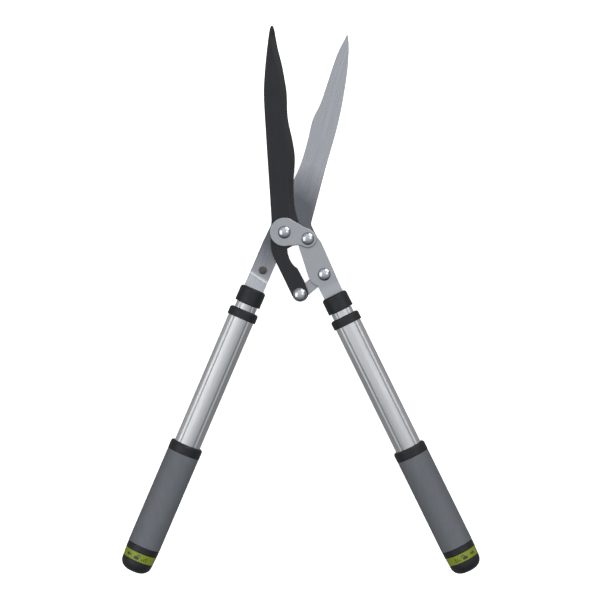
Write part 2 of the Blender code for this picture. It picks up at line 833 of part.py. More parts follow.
def make_grip(side, slide):
    """Everything that slides with the outer tube: collar, rings, sleeve and the bush in its end."""
    bore = OUTER_TUBE_RADIUS + GAP
    tube_start = COLLAR_START + COLLAR_LIP + GAP
    make_tube(f"{side}_outer_tube", OUTER_TUBE_RADIUS, OUTER_TUBE_WALL, tube_start, OUTER_TUBE_END, slide)
    profile = [
        (COLLAR_RADIUS, COLLAR_END),
        *rounded_shoulder(COLLAR_RADIUS, COLLAR_ROUNDING, COLLAR_START),
        (COLLAR_BLANK_BORE, COLLAR_START),
        (COLLAR_BLANK_BORE, COLLAR_START + COLLAR_LIP),
        (bore, COLLAR_START + COLLAR_LIP),
        (bore, COLLAR_END),
    ]
    collar = turned(f"{side}_tube_collar", profile, slide, 36)
    fluted = [tube_section(INNER_TUBE_RADIUS + GAP)]
    cut_end = COLLAR_START + COLLAR_LIP + 1
    keyed = flat(f"{side}_collar_bore", fluted, COLLAR_START - 1, cut_end, slide, (0, 0), CUTTERS)
    paint(boolean(collar, keyed), black_plastic())
    grip_ring = [
        (TOP_RING_RADIUS, SLEEVE_START - GAP),
        *[(TOP_RING_RADIUS - inset, GRIP_START + drop) for inset, drop in TOP_RING_SHOULDER],
        (bore, GRIP_START),
        (bore, SLEEVE_START - GAP),
    ]
    paint(turned(f"{side}_grip_top_ring", grip_ring, slide), black_plastic())
    sleeve = [
        (GRIP_RADIUS, SLEEVE_END),
        (GRIP_RADIUS, SLEEVE_START),
        (bore, SLEEVE_START),
        (bore, SLEEVE_END),
    ]
    paint(turned(f"{side}_grip_sleeve", sleeve, slide, 36), grip_foam())
    base_ring = [
        (BASE_RING_RADIUS, BASE_RING_END - GAP),
        (BASE_RING_RADIUS, SLEEVE_END + GAP),
        (bore, SLEEVE_END + GAP),
        (bore, BASE_RING_END - GAP),
    ]
    paint(turned(f"{side}_grip_base_ring", base_ring, slide), black_plastic())
    hub_bore = HUB_RADIUS + GAP
    bush = [
        (BUSH_RADIUS, OUTER_TUBE_END),
        (BUSH_RADIUS, END_BUSH_START),
        (hub_bore, END_BUSH_START),
        (hub_bore, OUTER_TUBE_END),
    ]
    paint(turned(f"{side}_end_bush", bush, slide, 20), natural_nylon())


def make_lock_knob(side, knob):
    """What turns to work the lock: the green ring, the domed cap with its hub, the spindle and clip."""
    ring_bore = NECK_RADIUS + GAP
    cap_radius = LOCK_RING_RADIUS - LOCK_RING_TAPER
    ring = [
        (cap_radius, LOCK_RING_END - GAP),
        (LOCK_RING_RADIUS, BASE_RING_END + GAP),
        (ring_bore, BASE_RING_END + GAP),
        (ring_bore, LOCK_RING_END - GAP),
    ]
    paint(turned(f"{side}_lock_ring", ring, knob), green_plastic())
    angles = quarter(CAP_STEPS)[CAP_FLAT_STEPS:]
    power = 2 / CAP_FULLNESS
    height = CAP_LENGTH / math.cos(angles[0]) ** power
    dome = [
        (cap_radius * math.sin(a) ** power, LOCK_RING_END + height * max(math.cos(a), 0) ** power)
        for a in angles
    ]
    clip_start = END_BUSH_START - GAP - CLIP_THICKNESS
    groove = HUB_RADIUS - CLIP_GROOVE
    profile = [
        (0, dome[0][1]),
        *dome,
        (NECK_RADIUS, LOCK_RING_END),
        (NECK_RADIUS, BASE_RING_END + GAP),
        (HUB_RADIUS, BASE_RING_END + GAP),
        (HUB_RADIUS, clip_start + CLIP_THICKNESS + CLIP_PLAY),
        (groove, clip_start + CLIP_THICKNESS + CLIP_PLAY),
        (groove, clip_start - CLIP_PLAY),
        (HUB_RADIUS, clip_start - CLIP_PLAY),
        (HUB_RADIUS, HUB_START),
        (0, HUB_START),
    ]
    cap = turned(f"{side}_end_cap", profile, knob, 28, False)
    socket_half = SPINDLE_HALF + GAP
    socket_end = BASE_RING_END + SOCKET_DEPTH
    socket_size = (2 * socket_half, 2 * socket_half, socket_end - HUB_START + 2)
    socket = block(f"{side}_cap_socket", socket_size, (0, 0, (socket_end + HUB_START) / 2 - 1), knob)
    paint(boolean(cap, socket), black_plastic())
    spindle_end = socket_end - GAP
    size = (2 * SPINDLE_HALF, 2 * SPINDLE_HALF, spindle_end - SPINDLE_START)
    middle = (0, 0, (spindle_end + SPINDLE_START) / 2)
    paint(block(f"{side}_lock_spindle", size, middle, knob, PARTS), aluminium())
    clip_bore = groove + CLIP_PLAY
    far_side = 360 - CLIP_HALF_OPENING
    inside = arc((0, 0), clip_bore, CLIP_HALF_OPENING, far_side, 24)
    outside = arc((0, 0), clip_bore + CLIP_WIDTH, far_side, CLIP_HALF_OPENING, 24)
    clip = flat(f"{side}_spindle_clip", [inside + outside], clip_start, clip_start + CLIP_THICKNESS, knob)
    paint(clip, bright_steel())


def make_handle(side, frame):
    slide = empty(f"{side}_slide", frame)
    knob = empty(f"{side}_lock_twist", slide)
    cam = empty(f"{side}_cam_twist", frame)
    make_ferrule(side, frame)
    make_tang_pin(side, frame)
    inner_start = FERRULE_END + GAP
    name = f"{side}_inner_tube"
    tube = make_tube(name, INNER_TUBE_RADIUS, INNER_TUBE_WALL, inner_start, INNER_TUBE_END, frame)
    pin_hole(side, tube, frame)
    make_lock(side, frame, cam)
    make_grip(side, slide)
    make_lock_knob(side, knob)


# ---------------------------------------------------------------- the whole


def centre_on_floor(root):
    """Moves the whole so that its box is centred over the origin and stands on the plane z = 0."""
    bpy.context.view_layer.update()
    depsgraph = bpy.context.evaluated_depsgraph_get()
    corners = [
        item.matrix_world @ vertex.co
        for item in bpy.data.collections[PARTS].objects
        if item.type == "MESH"
        for vertex in item.evaluated_get(depsgraph).data.vertices
    ]
    low = Vector([min(corner[k] for corner in corners) for k in range(3)])
    high = Vector([max(corner[k] for corner in corners) for k in range(3)])
    root.location = (-(low.x + high.x) / 2, -(low.y + high.y) / 2, -low.z)


def main():
    clear_scene()
    root = empty("main_pivot")
    blade_pivot = empty("upper_blade_pivot", root, (*MAIN_PIVOT, 0))
    arm_pivot = empty("right_arm_pivot", root, (*SIDE_PIVOT, 0))
    link_pivot = empty("drive_link_pivot", arm_pivot, (*(ARM_LINK_PIVOT - SIDE_PIVOT), 0))
    frames = {}
    for side, parent, origin in (("left", root, MAIN_PIVOT), ("right", arm_pivot, SIDE_PIVOT)):
        place = on_handle(side, 0, 0) - origin
        turn = (math.pi / 2, 0, math.radians(HANDLES[side]["angle"]))
        frames[side] = empty(f"{side}_handle", parent, (*place, HANDLE_HEIGHT), turn)
    bpy.context.view_layer.update()
    make_lower_blade(root, frames)
    make_upper_blade(blade_pivot)
    make_arm_plate(arm_pivot, frames)
    make_pivot_plate(root)
    make_drive_link(link_pivot)
    make_buffer(root)
    make_fastener("main_pivot", root, MAIN_PIVOT, PLATE_TOP)
    make_fastener("side_pivot", root, SIDE_PIVOT, PLATE_TOP)
    make_fastener("arm_link", arm_pivot, ARM_LINK_PIVOT - SIDE_PIVOT, MIDDLE_TOP)
    make_fastener("blade_link", blade_pivot, BLADE_LINK_PIVOT, MIDDLE_TOP)
    for side, frame in frames.items():
        make_handle(side, frame)
    centre_on_floor(root)


main()
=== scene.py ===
import json
import math

import bmesh
import bpy
import numpy as np
from mathutils import Euler, Matrix, Vector
from mathutils.geometry import tessellate_polygon


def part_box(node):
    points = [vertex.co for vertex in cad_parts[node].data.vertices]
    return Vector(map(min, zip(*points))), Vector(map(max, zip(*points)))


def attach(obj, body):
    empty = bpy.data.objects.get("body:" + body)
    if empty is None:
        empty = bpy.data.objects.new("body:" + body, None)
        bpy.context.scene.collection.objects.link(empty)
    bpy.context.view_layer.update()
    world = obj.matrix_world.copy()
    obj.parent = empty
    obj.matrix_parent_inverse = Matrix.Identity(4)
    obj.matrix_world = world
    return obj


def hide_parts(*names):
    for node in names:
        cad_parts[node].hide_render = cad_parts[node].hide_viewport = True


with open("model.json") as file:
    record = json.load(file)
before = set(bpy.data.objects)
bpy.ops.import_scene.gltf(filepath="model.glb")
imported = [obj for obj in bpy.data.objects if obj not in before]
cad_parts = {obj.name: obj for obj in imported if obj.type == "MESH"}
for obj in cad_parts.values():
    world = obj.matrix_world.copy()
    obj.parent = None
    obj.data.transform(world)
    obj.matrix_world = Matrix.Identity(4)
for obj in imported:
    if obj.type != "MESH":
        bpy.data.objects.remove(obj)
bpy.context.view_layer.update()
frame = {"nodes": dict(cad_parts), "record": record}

# Telescopic hedge shears: the looks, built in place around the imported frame.
#
# Shapes are drawn in millimetres. The flat pieces of the head are drawn in the shear plane, from the
# main pivot. The pieces of a handle are drawn from the top of its ferrule, with Z along the handle and
# Y up. Both blades are drawn from the tip down the cutting edge, and then round the rest.

SLOTS = {row["node"]: row["material_slot"] for row in frame["record"]["subparts"]}
MM = 0.001
GAP = 0.3
SHARP_ANGLE = 22

# Pivots in the shear plane, and the layers of the head
MAIN_PIVOT = (0.0, 0.0)
SIDE_PIVOT = (27.8, -7.7)
ARM_LINK_PIVOT = (47.4, -49.9)
BLADE_LINK_PIVOT = (18.4, -74.2)
BACK = (-3.7, -0.2)
MIDDLE = (0.2, 3.7)
FRONT = (4.0, 7.0)

# Ends and lobes of the flat pieces, and the rubber stop
TAIL_END = (18.8, -73.0)
TAIL_RADIUS = 9.6
ARM_LOBE = (46.8, -46.5)
ARM_LOBE_RADIUS = 19.0
LINK_HALF_WIDTH = 7.0
BUFFER_PLACE = (-25.7, -45.2)
BUFFER_HOLE = 2.5

# Bolts, washers and nuts, and their holes: the link has play round the bolt on the black tail
SHANK_RADIUS = 3.0
BOLT_HOLE = 3.3
PLAY_HOLE = 4.7
DOME_RADIUS = 8.0
DOME_HEIGHT = 3.5
BOLT_END = -12.3
WASHER_RADIUS = 7.0
WASHER_THICKNESS = 1.2
NUT_HEIGHT = 6.0
NUT_HALF_WIDTH = 5.0
HOLE_RIMS = (0.15, 0.15)

# Handles: where each axis passes its pivot, its angle from -Y, and where its ferrule starts
HANDLES = {
    "left": {"foot": (-6.4, 2.8), "angle": -23.15, "ferrule": 75.9},
    "right": {"foot": (26.1, -8.5), "angle": 26.2, "ferrule": 73.6},
}

# Bends of the tangs: each one's station, the height reached there, its rounding and its skew
BENDS = {
    "left": ((-16.5, 0.0, 0.9, 0.17), (-12.5, 1.9, 0.9, 0.17), (-0.7, 5.4, 1.2, 0.0)),
    "right": ((-12.0, 0.0, 2.4, 0.0), (-0.7, 1.5, 1.2, 0.0)),
}
BEND_CUTS = 40
TANG_HALF = 12.2
TONGUE_HALF = 9.0
TONGUE_START = 14.0
TONGUE_END = 58.0
PIN_STATION = 48.0
PIN_HOLE = 2.3

# Ground cutting edges
LAND = 0.4
UPPER_BEVEL = 6.6
LOWER_BEVEL = 6.0
TIP_FADE = 14.0
HEEL_FADE = 5.0
RIM_STEPS = 6
RIM_SUPPORT = 0.25

# Tubes, each with its radius, its wall and the stations of its ends
INNER_TUBE = (13.0, 1.2, 20.1, 268.0)
OUTER_TUBE = (16.0, 1.4, 31.2, 335.0)
FLUTES = (54.0, 126.0, 234.0, 306.0)
FLUTE_HALF_WIDTH = 9.0
FLUTE_DEPTH = 0.9
TUBE_POINTS = 240

# Ferrules, collars, grips and caps: the stations of their ends, and their radii
SPIGOT = (19.8, 62.0)
SPIGOT_RADIUS = 10.6
FERRULE_RADIUS = 15.7
COLLAR = (27.6, 38.6)
COLLAR_RADIUS = 17.8
COLLAR_LIP = 30.9
COLLAR_LIP_RADIUS = 13.3
TOP_RING = (200.9, 212.2)
SLEEVE = (212.5, 331.5)
SLEEVE_RADIUS = 19.7
BASE_RING = (331.8, 338.7)
BASE_RING_RADIUS = 19.5
GRIP_BORE = 16.3
LOCK_RING = (339.3, 349.3)
LOCK_RING_RADIUS = 19.4
LOCK_RING_TAPER = 0.06
LOCK_RING_BORE = 15.8
CAP_START = 349.6
CAP_RADIUS = 18.8
CAP_HEIGHT = 14.2

# Painted shade on the silver blade, in metres: where it is darkest, and how far out it fades
PAINTED_SHADE_MIDDLE = (0.004, 0.010, 0)
PAINTED_SHADE_FADE = (0.040, 0.084)

# The stage: sizes and places in metres, the lens in millimetres
FLOOR_SIZE = 12
FLOOR_GLOW = 0.82
CARD_GLOW = 0.34
CARD_HEIGHT = -0.004
LIGHT_DISTANCE = 2.4
CAMERA_FROM_HEAD = (0.0186, -0.0804, 2.14)
LENS = 107.9


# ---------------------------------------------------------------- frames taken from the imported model


def centre(node):
    low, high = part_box(node)
    return (low + high) / 2


HEAD_PLACE = Vector((*centre("main_pivot_washer").xy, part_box("upper_blade")[0].z - MIDDLE[0] * MM))
HEAD = Matrix.Translation(HEAD_PLACE)


def handle_matrix(side):
    """A handle's own frame, from the middles of its sleeve and its outer tube."""
    sleeve = centre(f"{side}_grip_sleeve")
    axis = (sleeve - centre(f"{side}_outer_tube")).normalized()
    start = sleeve - axis * (sum(SLEEVE) / 2) * MM
    turn = Euler((math.pi / 2, 0, math.atan2(axis.x, -axis.y))).to_matrix().to_4x4()
    return Matrix.Translation(start) @ turn


HANDLE = {side: handle_matrix(side) for side in HANDLES}


# ---------------------------------------------------------------- outlines in the shear plane


def arc(middle, radius, start, end, steps):
    x, y = middle
    angles = [math.radians(start + (end - start) * i / steps) for i in range(steps + 1)]
    return [Vector((x + radius * math.cos(a), y + radius * math.sin(a))) for a in angles]


def circle(middle, radius, points=48):
    return arc(middle, radius, 0, 360 - 360 / points, points - 1)


def square(middle, half):
    corners = ((-1, -1), (1, -1), (1, 1), (-1, 1))
    return [Vector((middle[0] + half * x, middle[1] + half * y)) for x, y in corners]


def smooth(points, steps=10):
    """A Catmull-Rom curve through the points, both ends included."""
    knots = [Vector(p) for p in points]
    ends = [knots[0] * 2 - knots[1], *knots, knots[-1] * 2 - knots[-2]]
    path = []
    for a, b, c, d in zip(ends, ends[1:], ends[2:], ends[3:]):
        slope, bow, twist = c - a, 2 * a - 5 * b + 4 * c - d, 3 * b - a - 3 * c + d
        for i in range(steps):
            t = i / steps
            path.append(b + 0.5 * (slope * t + bow * t**2 + twist * t**3))
    return [*path, knots[-1]]


def on_handle(side, across, station):
    """A point of the shear plane, measured across a handle's axis and along it from its ferrule."""
    handle = HANDLES[side]
    turn = math.radians(handle["angle"])
    along = Vector((math.sin(turn), -math.cos(turn)))
    sideways = Vector((math.cos(turn), math.sin(turn)))
    return Vector(handle["foot"]) + along * (handle["ferrule"] + station) + sideways * across


def tang_tongue(side):
    """The end of a tang, which narrows to a tongue inside the ferrule."""
    places = [
        (-TANG_HALF, TONGUE_START),
        (-TONGUE_HALF, TONGUE_START),
        (-TONGUE_HALF, TONGUE_END),
        (TONGUE_HALF, TONGUE_END),
        (TONGUE_HALF, TONGUE_START),
        (TANG_HALF, TONGUE_START),
    ]
    return [on_handle(side, across, station) for across, station in places]


def upper_blade_outline():
    """The black blade: its cutting edge from the tip, and the rest of it."""
    edge = smooth(
        [
            (-13.2, 245.0), (-11.4, 238.7), (-7.9, 219.7), (-3.1, 200.6), (0.5, 181.6), (2.9, 165.0),
            (4.2, 136.0), (10.2, 107.0), (12.6, 86.4), (10.9, 58.0), (11.8, 33.0), (16.5, 12.3),
        ]
    )
    rest = arc(MAIN_PIVOT, 14.4, 24, -42, 24)
    rest += [Vector((9.4, -16.5)), Vector((6.4, -18.0)), Vector((3.5, -19.5))]
    rest += smooth([(4.3, -25.6), (7.0, -33.0), (11.2, -39.2), (15.6, -42.6)], 6)
    rest += [Vector((23.6, -57.6)), *arc(TAIL_END, TAIL_RADIUS, 18, -154, 40)]
    rest += smooth([(-8.7, -38.0), (-12.6, -29.5), (-15.6, -19.8), (-16.3, -5.0), (-15.4, 15.0)], 6)
    rest += smooth(
        [
            (-16.8, 38.8), (-21.5, 110.2), (-24.3, 157.8), (-23.9, 181.6),
            (-21.5, 210.2), (-18.0, 238.7), (-16.0, 245.0), (-14.8, 246.0),
        ],
        8,
    )
    return edge, rest


def lower_blade_outline():
    """The silver blade with its ear and tang: its cutting edge from the tip, and the rest of it."""
    edge = smooth(
        [
            (74.1, 235.0), (71.3, 229.2), (62.1, 210.2), (49.3, 172.1), (42.7, 153.0), (33.6, 134.0),
            (27.6, 109.0), (19.5, 81.6), (8.6, 57.5), (-6.0, 28.0), (-13.5, 14.0),
        ]
    )
    rest = [on_handle("left", -TANG_HALF, -55.0), *tang_tongue("left")]
    rest += smooth([on_handle("left", TANG_HALF, -56.0), (-1.6, -17.2), (4.0, -15.4), (16.0, -13.2)], 8)
    rest += arc(SIDE_PIVOT, 11.5, -130, 14, 36)
    rest += smooth(
        [
            (32.4, 7.9), (32.2, 12.0), (34.2, 19.8), (49.3, 76.9), (65.0, 134.0), (74.3, 186.4),
            (76.8, 217.3), (76.1, 232.2), (75.2, 235.2),
        ],
        8,
    )
    return edge, rest


def arm_plate_outline():
    """The right arm: round the side pivot, down to the lobe, and round the tang back to the pivot."""
    outline = arc(SIDE_PIVOT, 10.8, 38, 186, 36)
    outline += [Vector((17.0, -16.9)), Vector((28.8, -53.7))]
    outline += arc(ARM_LOBE, ARM_LOBE_RADIUS, 204, 246, 14) + [on_handle("right", -TANG_HALF, -18.6)]
    flank = [(12.4, -10.0), (14.3, -56.4), (14.1, -66.0), (12.6, -71.4), (9.6, -75.6)]
    return outline + tang_tongue("right") + smooth([on_handle("right", *place) for place in flank], 8)


def pivot_plate_outline():
    """The plate over both pivots: two round ends with shallow waists between them."""
    outline = arc((0.0, 0.3), 17.2, 56, 286, 72)
    outline += smooth([(10.0, -16.1), (15.8, -15.5), (20.4, -16.2)], 8)
    outline += arc(SIDE_PIVOT, 10.7, -114, 56, 40)
    return outline + smooth([(29.6, 4.2), (22.8, 6.8), (15.9, 10.8)], 8)


def bar_outline(first, second, radius):
    along = math.degrees(math.atan2(second[1] - first[1], second[0] - first[0]))
    far_end = arc(second, radius, along - 90, along + 90, 32)
    return far_end + arc(first, radius, along + 90, along + 270, 32)


# ---------------------------------------------------------------- solids


def finish_mesh(name, work, matrix, body, node, material, sharp=SHARP_ANGLE):
    """Turns a bmesh drawn in millimetres into a piece that rides on a body and stands for a CAD node."""
    bmesh.ops.recalc_face_normals(work, faces=work.faces)
    bmesh.ops.scale(work, vec=(MM, MM, MM), verts=work.verts)
    bmesh.ops.transform(work, matrix=matrix.to_3x3().to_4x4(), verts=work.verts)
    mesh = bpy.data.meshes.new(name)
    work.to_mesh(mesh)
    work.free()
    mesh.shade_smooth()
    mesh.set_sharp_from_angle(angle=math.radians(sharp))
    piece = bpy.data.objects.new(name, mesh)
    bpy.context.scene.collection.objects.link(piece)
    piece.location = matrix.translation
    if material:
        mesh.materials.append(material)
    if body:
        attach(piece, body)
    if node:
        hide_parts(node)
    return piece


def cut(piece, cutter, operation="DIFFERENCE", sharp=SHARP_ANGLE):
    """Applies a boolean at once and removes the cutter."""
    modifier = piece.modifiers.new("cut", "BOOLEAN")
    modifier.operation = operation
    modifier.solver = "EXACT"
    modifier.object = cutter
    graph = bpy.context.evaluated_depsgraph_get()
    result = bpy.data.meshes.new_from_object(piece.evaluated_get(graph))
    piece.modifiers.clear()
    old = piece.data
    result.name = old.name
    piece.data = result
    bpy.data.meshes.remove(old)
    piece.data.shade_smooth()
    piece.data.set_sharp_from_angle(angle=math.radians(sharp))
    bpy.data.objects.remove(cutter)


def inward_normals(points):
    """A loop's points and the way into the material at each, longer at corners to keep sides parallel."""
    loop = np.array([(p.x, p.y) for p in points])
    ahead = np.roll(loop, -1, axis=0) - loop
    ahead /= np.maximum(np.linalg.norm(ahead, axis=1, keepdims=True), 1e-9)
    left = np.stack([-ahead[:, 1], ahead[:, 0]], axis=1)
    both = left + np.roll(left, 1, axis=0)
    both /= np.maximum(np.linalg.norm(both, axis=1, keepdims=True), 1e-9)
    lean = np.maximum((both * left).sum(axis=1, keepdims=True), 0.5)
    return loop, both / lean


def turned_left(points, anticlockwise=True):
    area = sum(a.x * b.y - b.x * a.y for a, b in zip(points, [*points[1:], points[0]]))
    return list(points) if (area > 0) == anticlockwise else list(reversed(points))


def without_doubles(points):
    return [p for p, q in zip(points, [*points[1:], points[0]]) if (p - q).length > 0.02]


def rim_rows(low, high, bottom, top):
    """A sheet's edge from below, as (height, inset) rows: two round rims, and a row to hold each flat."""
    turns = [math.pi / 2 * k / RIM_STEPS for k in range(RIM_STEPS + 1)]
    rows = [(low, bottom + RIM_SUPPORT)]
    rows += [(low + bottom * (1 - math.cos(a)), bottom * (1 - math.sin(a))) for a in turns]
    rows += [(high - top * (1 - math.cos(a)), top * (1 - math.sin(a))) for a in reversed(turns)]
    return [*rows, (high, top + RIM_SUPPORT)]


def ground_rows(low, high, setback, on_top):
    """The same number of rows for a cutting edge that is ground back to one side."""
    keen = 0.16
    turns = [math.pi / 2 * k / RIM_STEPS for k in range(RIM_STEPS + 1)]
    rows = [(0.0, keen + RIM_SUPPORT)]
    rows += [(keen * (1 - math.cos(a)), keen * (1 - math.sin(a))) for a in turns]
    depth = high - low - LAND
    rows += [(LAND + depth * k / RIM_STEPS, setback * k / RIM_STEPS) for k in range(RIM_STEPS + 1)]
    rows += [(high - low, setback + RIM_SUPPORT)]
    if on_top:
        return [(low + z, inset) for z, inset in rows]
    return [(high - z, inset) for z, inset in reversed(rows)]


def edge_share(edge, total):
    """How fully each outline point is ground: 1 along the cutting edge, fading out at both its ends."""
    lengths = np.array([0, *np.cumsum([(b - a).length for a, b in zip(edge, edge[1:])])])
    share = np.clip(np.minimum(lengths / TIP_FADE, (lengths[-1] - lengths) / HEEL_FADE), 0, 1)
    share = share * share * (3 - 2 * share)
    return np.concatenate([share, np.zeros(total - len(edge))])


def sheet_mesh(outline, layer, rims, holes=(), ground=None):
    """A sheet metal piece: rounded rims all round, holes, and a ground cutting edge where asked."""
    low, high = layer
    work = bmesh.new()
    first_ring, last_ring = [], []
    for number, loop in enumerate([outline, *holes]):
        if number:
            loop = turned_left(loop, anticlockwise=False)
        places, normals = inward_normals(loop)
        plain = np.array(rim_rows(low, high, *(HOLE_RIMS if number else rims)))
        rows = np.repeat(plain[None], len(loop), axis=0)
        if ground and number == 0:
            share, setback, on_top = ground
            keen = np.array(ground_rows(low, high, setback, on_top))
            rows = rows + share[:, None, None] * (keen[None] - rows)
        rings = []
        for k in range(rows.shape[1]):
            flat = places + normals * rows[:, k, 1:2]
            rings.append([work.verts.new((x, y, z)) for (x, y), z in zip(flat, rows[:, k, 0])])
        for below, above in zip(rings, rings[1:]):
            for i in range(len(loop)):
                j = (i + 1) % len(loop)
                work.faces.new((below[i], below[j], above[j], above[i]))
        first_ring.append(rings[0])
        last_ring.append(rings[-1])
    for ring_set in (first_ring, last_ring):
        flat = [vertex for ring in ring_set for vertex in ring]
        loops = [[Vector((v.co.x, v.co.y, 0)) for v in ring] for ring in ring_set]
        for a, b, c in tessellate_polygon(loops):
            work.faces.new((flat[a], flat[b], flat[c]))
    return work


def split_mesh(work, point, normal, tolerance):
    """Adds edges where a plane crosses a mesh, so that it can bend there."""
    geometry = work.verts[:] + work.edges[:] + work.faces[:]
    bmesh.ops.bisect_plane(work, geom=geometry, plane_co=point, plane_no=normal, dist=tolerance)


def tang_rise(side, across, station):
    """How far forwards a point of a tang is bent."""
    knots = [(place + askew * across, rise, rounding) for place, rise, rounding, askew in BENDS[side]]
    slopes = [0.0, *[(b[1] - a[1]) / (b[0] - a[0]) for a, b in zip(knots, knots[1:])], 0.0]
    rise = 0.0
    for (place, _, rounding), before, after in zip(knots, slopes, slopes[1:]):
        past = station - place
        rise += (after - before) * max(past, 0)
        rise += (after - before) * max(rounding - abs(past), 0) ** 2 / (4 * rounding)
    return rise


def bend_tang(work, side):
    """Bends a tang forwards to its handle's height, along the same lines as the CAD piece."""
    turn = math.radians(HANDLES[side]["angle"])
    along = Vector((math.sin(turn), -math.cos(turn), 0))
    sideways = Vector((math.cos(turn), math.sin(turn), 0))
    start = Vector((*on_handle(side, 0, 0), 0))
    first, last = BENDS[side][0], BENDS[side][-1]
    low, high = first[0] - first[2], last[0] + last[2]
    for i in range(BEND_CUTS + 1):
        share = i / BEND_CUTS
        station = low + (high - low) * share
        normal = along - sideways * first[3] * (1 - share)
        split_mesh(work, start + along * station, normal, 1e-4)
    for vertex in work.verts:
        offset = Vector((vertex.co.x, vertex.co.y, 0)) - start
        vertex.co.z += tang_rise(side, offset.dot(sideways), offset.dot(along))


def fillet(corners, closed, steps=5):
    """A path of (radius, station) corners, rounded by their third numbers, and rows to hold the flats."""
    path = []
    count = len(corners)
    for i, corner in enumerate(corners):
        place = Vector(corner[:2])
        rounding = corner[2] if len(corner) > 2 else 0
        if not rounding or (not closed and i in (0, count - 1)):
            path.append(place)
            continue
        before = Vector(corners[i - 1][:2]) - place
        after = Vector(corners[(i + 1) % count][:2]) - place
        half = before.angle(after) / 2
        reach = rounding / math.tan(half)
        inward = (before.normalized() + after.normalized()).normalized()
        middle = place + inward * rounding / math.sin(half)
        start = place + before.normalized() * reach - middle
        end = place + after.normalized() * reach - middle
        hold = min(0.35, 0.25 * rounding + 0.1)
        if before.length - reach > 2 * hold:
            path.append(place + before.normalized() * (reach + hold))
        swing = start.angle_signed(end)
        path += [middle + Matrix.Rotation(-swing * k / steps, 2) @ start for k in range(steps + 1)]
        if after.length - reach > 2 * hold:
            path.append(place + after.normalized() * (reach + hold))
    return [(p.x, p.y) for p in path]


def lathe_mesh(profile, closed, segments=96, shape=None):
    """A solid turned about Z from (radius, station) points, where radius 0 is a pole."""
    work = bmesh.new()
    rings = []
    for radius, station in profile:
        if radius < 1e-6:
            rings.append([work.verts.new((0, 0, station))])
            continue
        ring = []
        for k in range(segments):
            angle = math.tau * k / segments
            reach = shape(radius, station, math.degrees(angle)) if shape else radius
            ring.append(work.verts.new((reach * math.cos(angle), reach * math.sin(angle), station)))
        rings.append(ring)
    pairs = list(zip(rings, rings[1:])) + ([(rings[-1], rings[0])] if closed else [])
    for one, two in pairs:
        for k in range(segments):
            n = (k + 1) % segments
            if len(one) == 1 and len(two) == 1:
                break
            if len(one) == 1:
                work.faces.new((one[0], two[k], two[n]))
            elif len(two) == 1:
                work.faces.new((one[k], one[n], two[0]))
            else:
                work.faces.new((one[k], one[n], two[n], two[k]))
    return work


def rod_mesh(radius, low, high, segments):
    return lathe_mesh([(0, high), (radius, high), (radius, low), (0, low)], False, segments)


def block_mesh(size, middle):
    work = bmesh.new()
    matrix = Matrix.Translation(middle) @ Matrix.Diagonal((*size, 1))
    bmesh.ops.create_cube(work, size=1, matrix=matrix)
    return work


def dome_profile(radius, height, base, steps):
    """A shallow ball-shaped dome, from its top to just short of its rim."""
    ball = (radius**2 + height**2) / (2 * height)
    spread = math.asin(radius / ball)
    middle = base + height - ball
    turns = [spread * k / steps for k in range(steps)]
    return [(ball * math.sin(a), middle + ball * math.cos(a)) for a in turns]


def fluted(radius, angle):
    """The radius of a drawn tube at an angle: a circle with four shallow grooves."""
    away = min(abs(angle - flute) for flute in FLUTES)
    return radius - math.cos(math.pi / 2 * min(away / FLUTE_HALF_WIDTH, 1)) ** 2 * FLUTE_DEPTH


# ---------------------------------------------------------------- materials


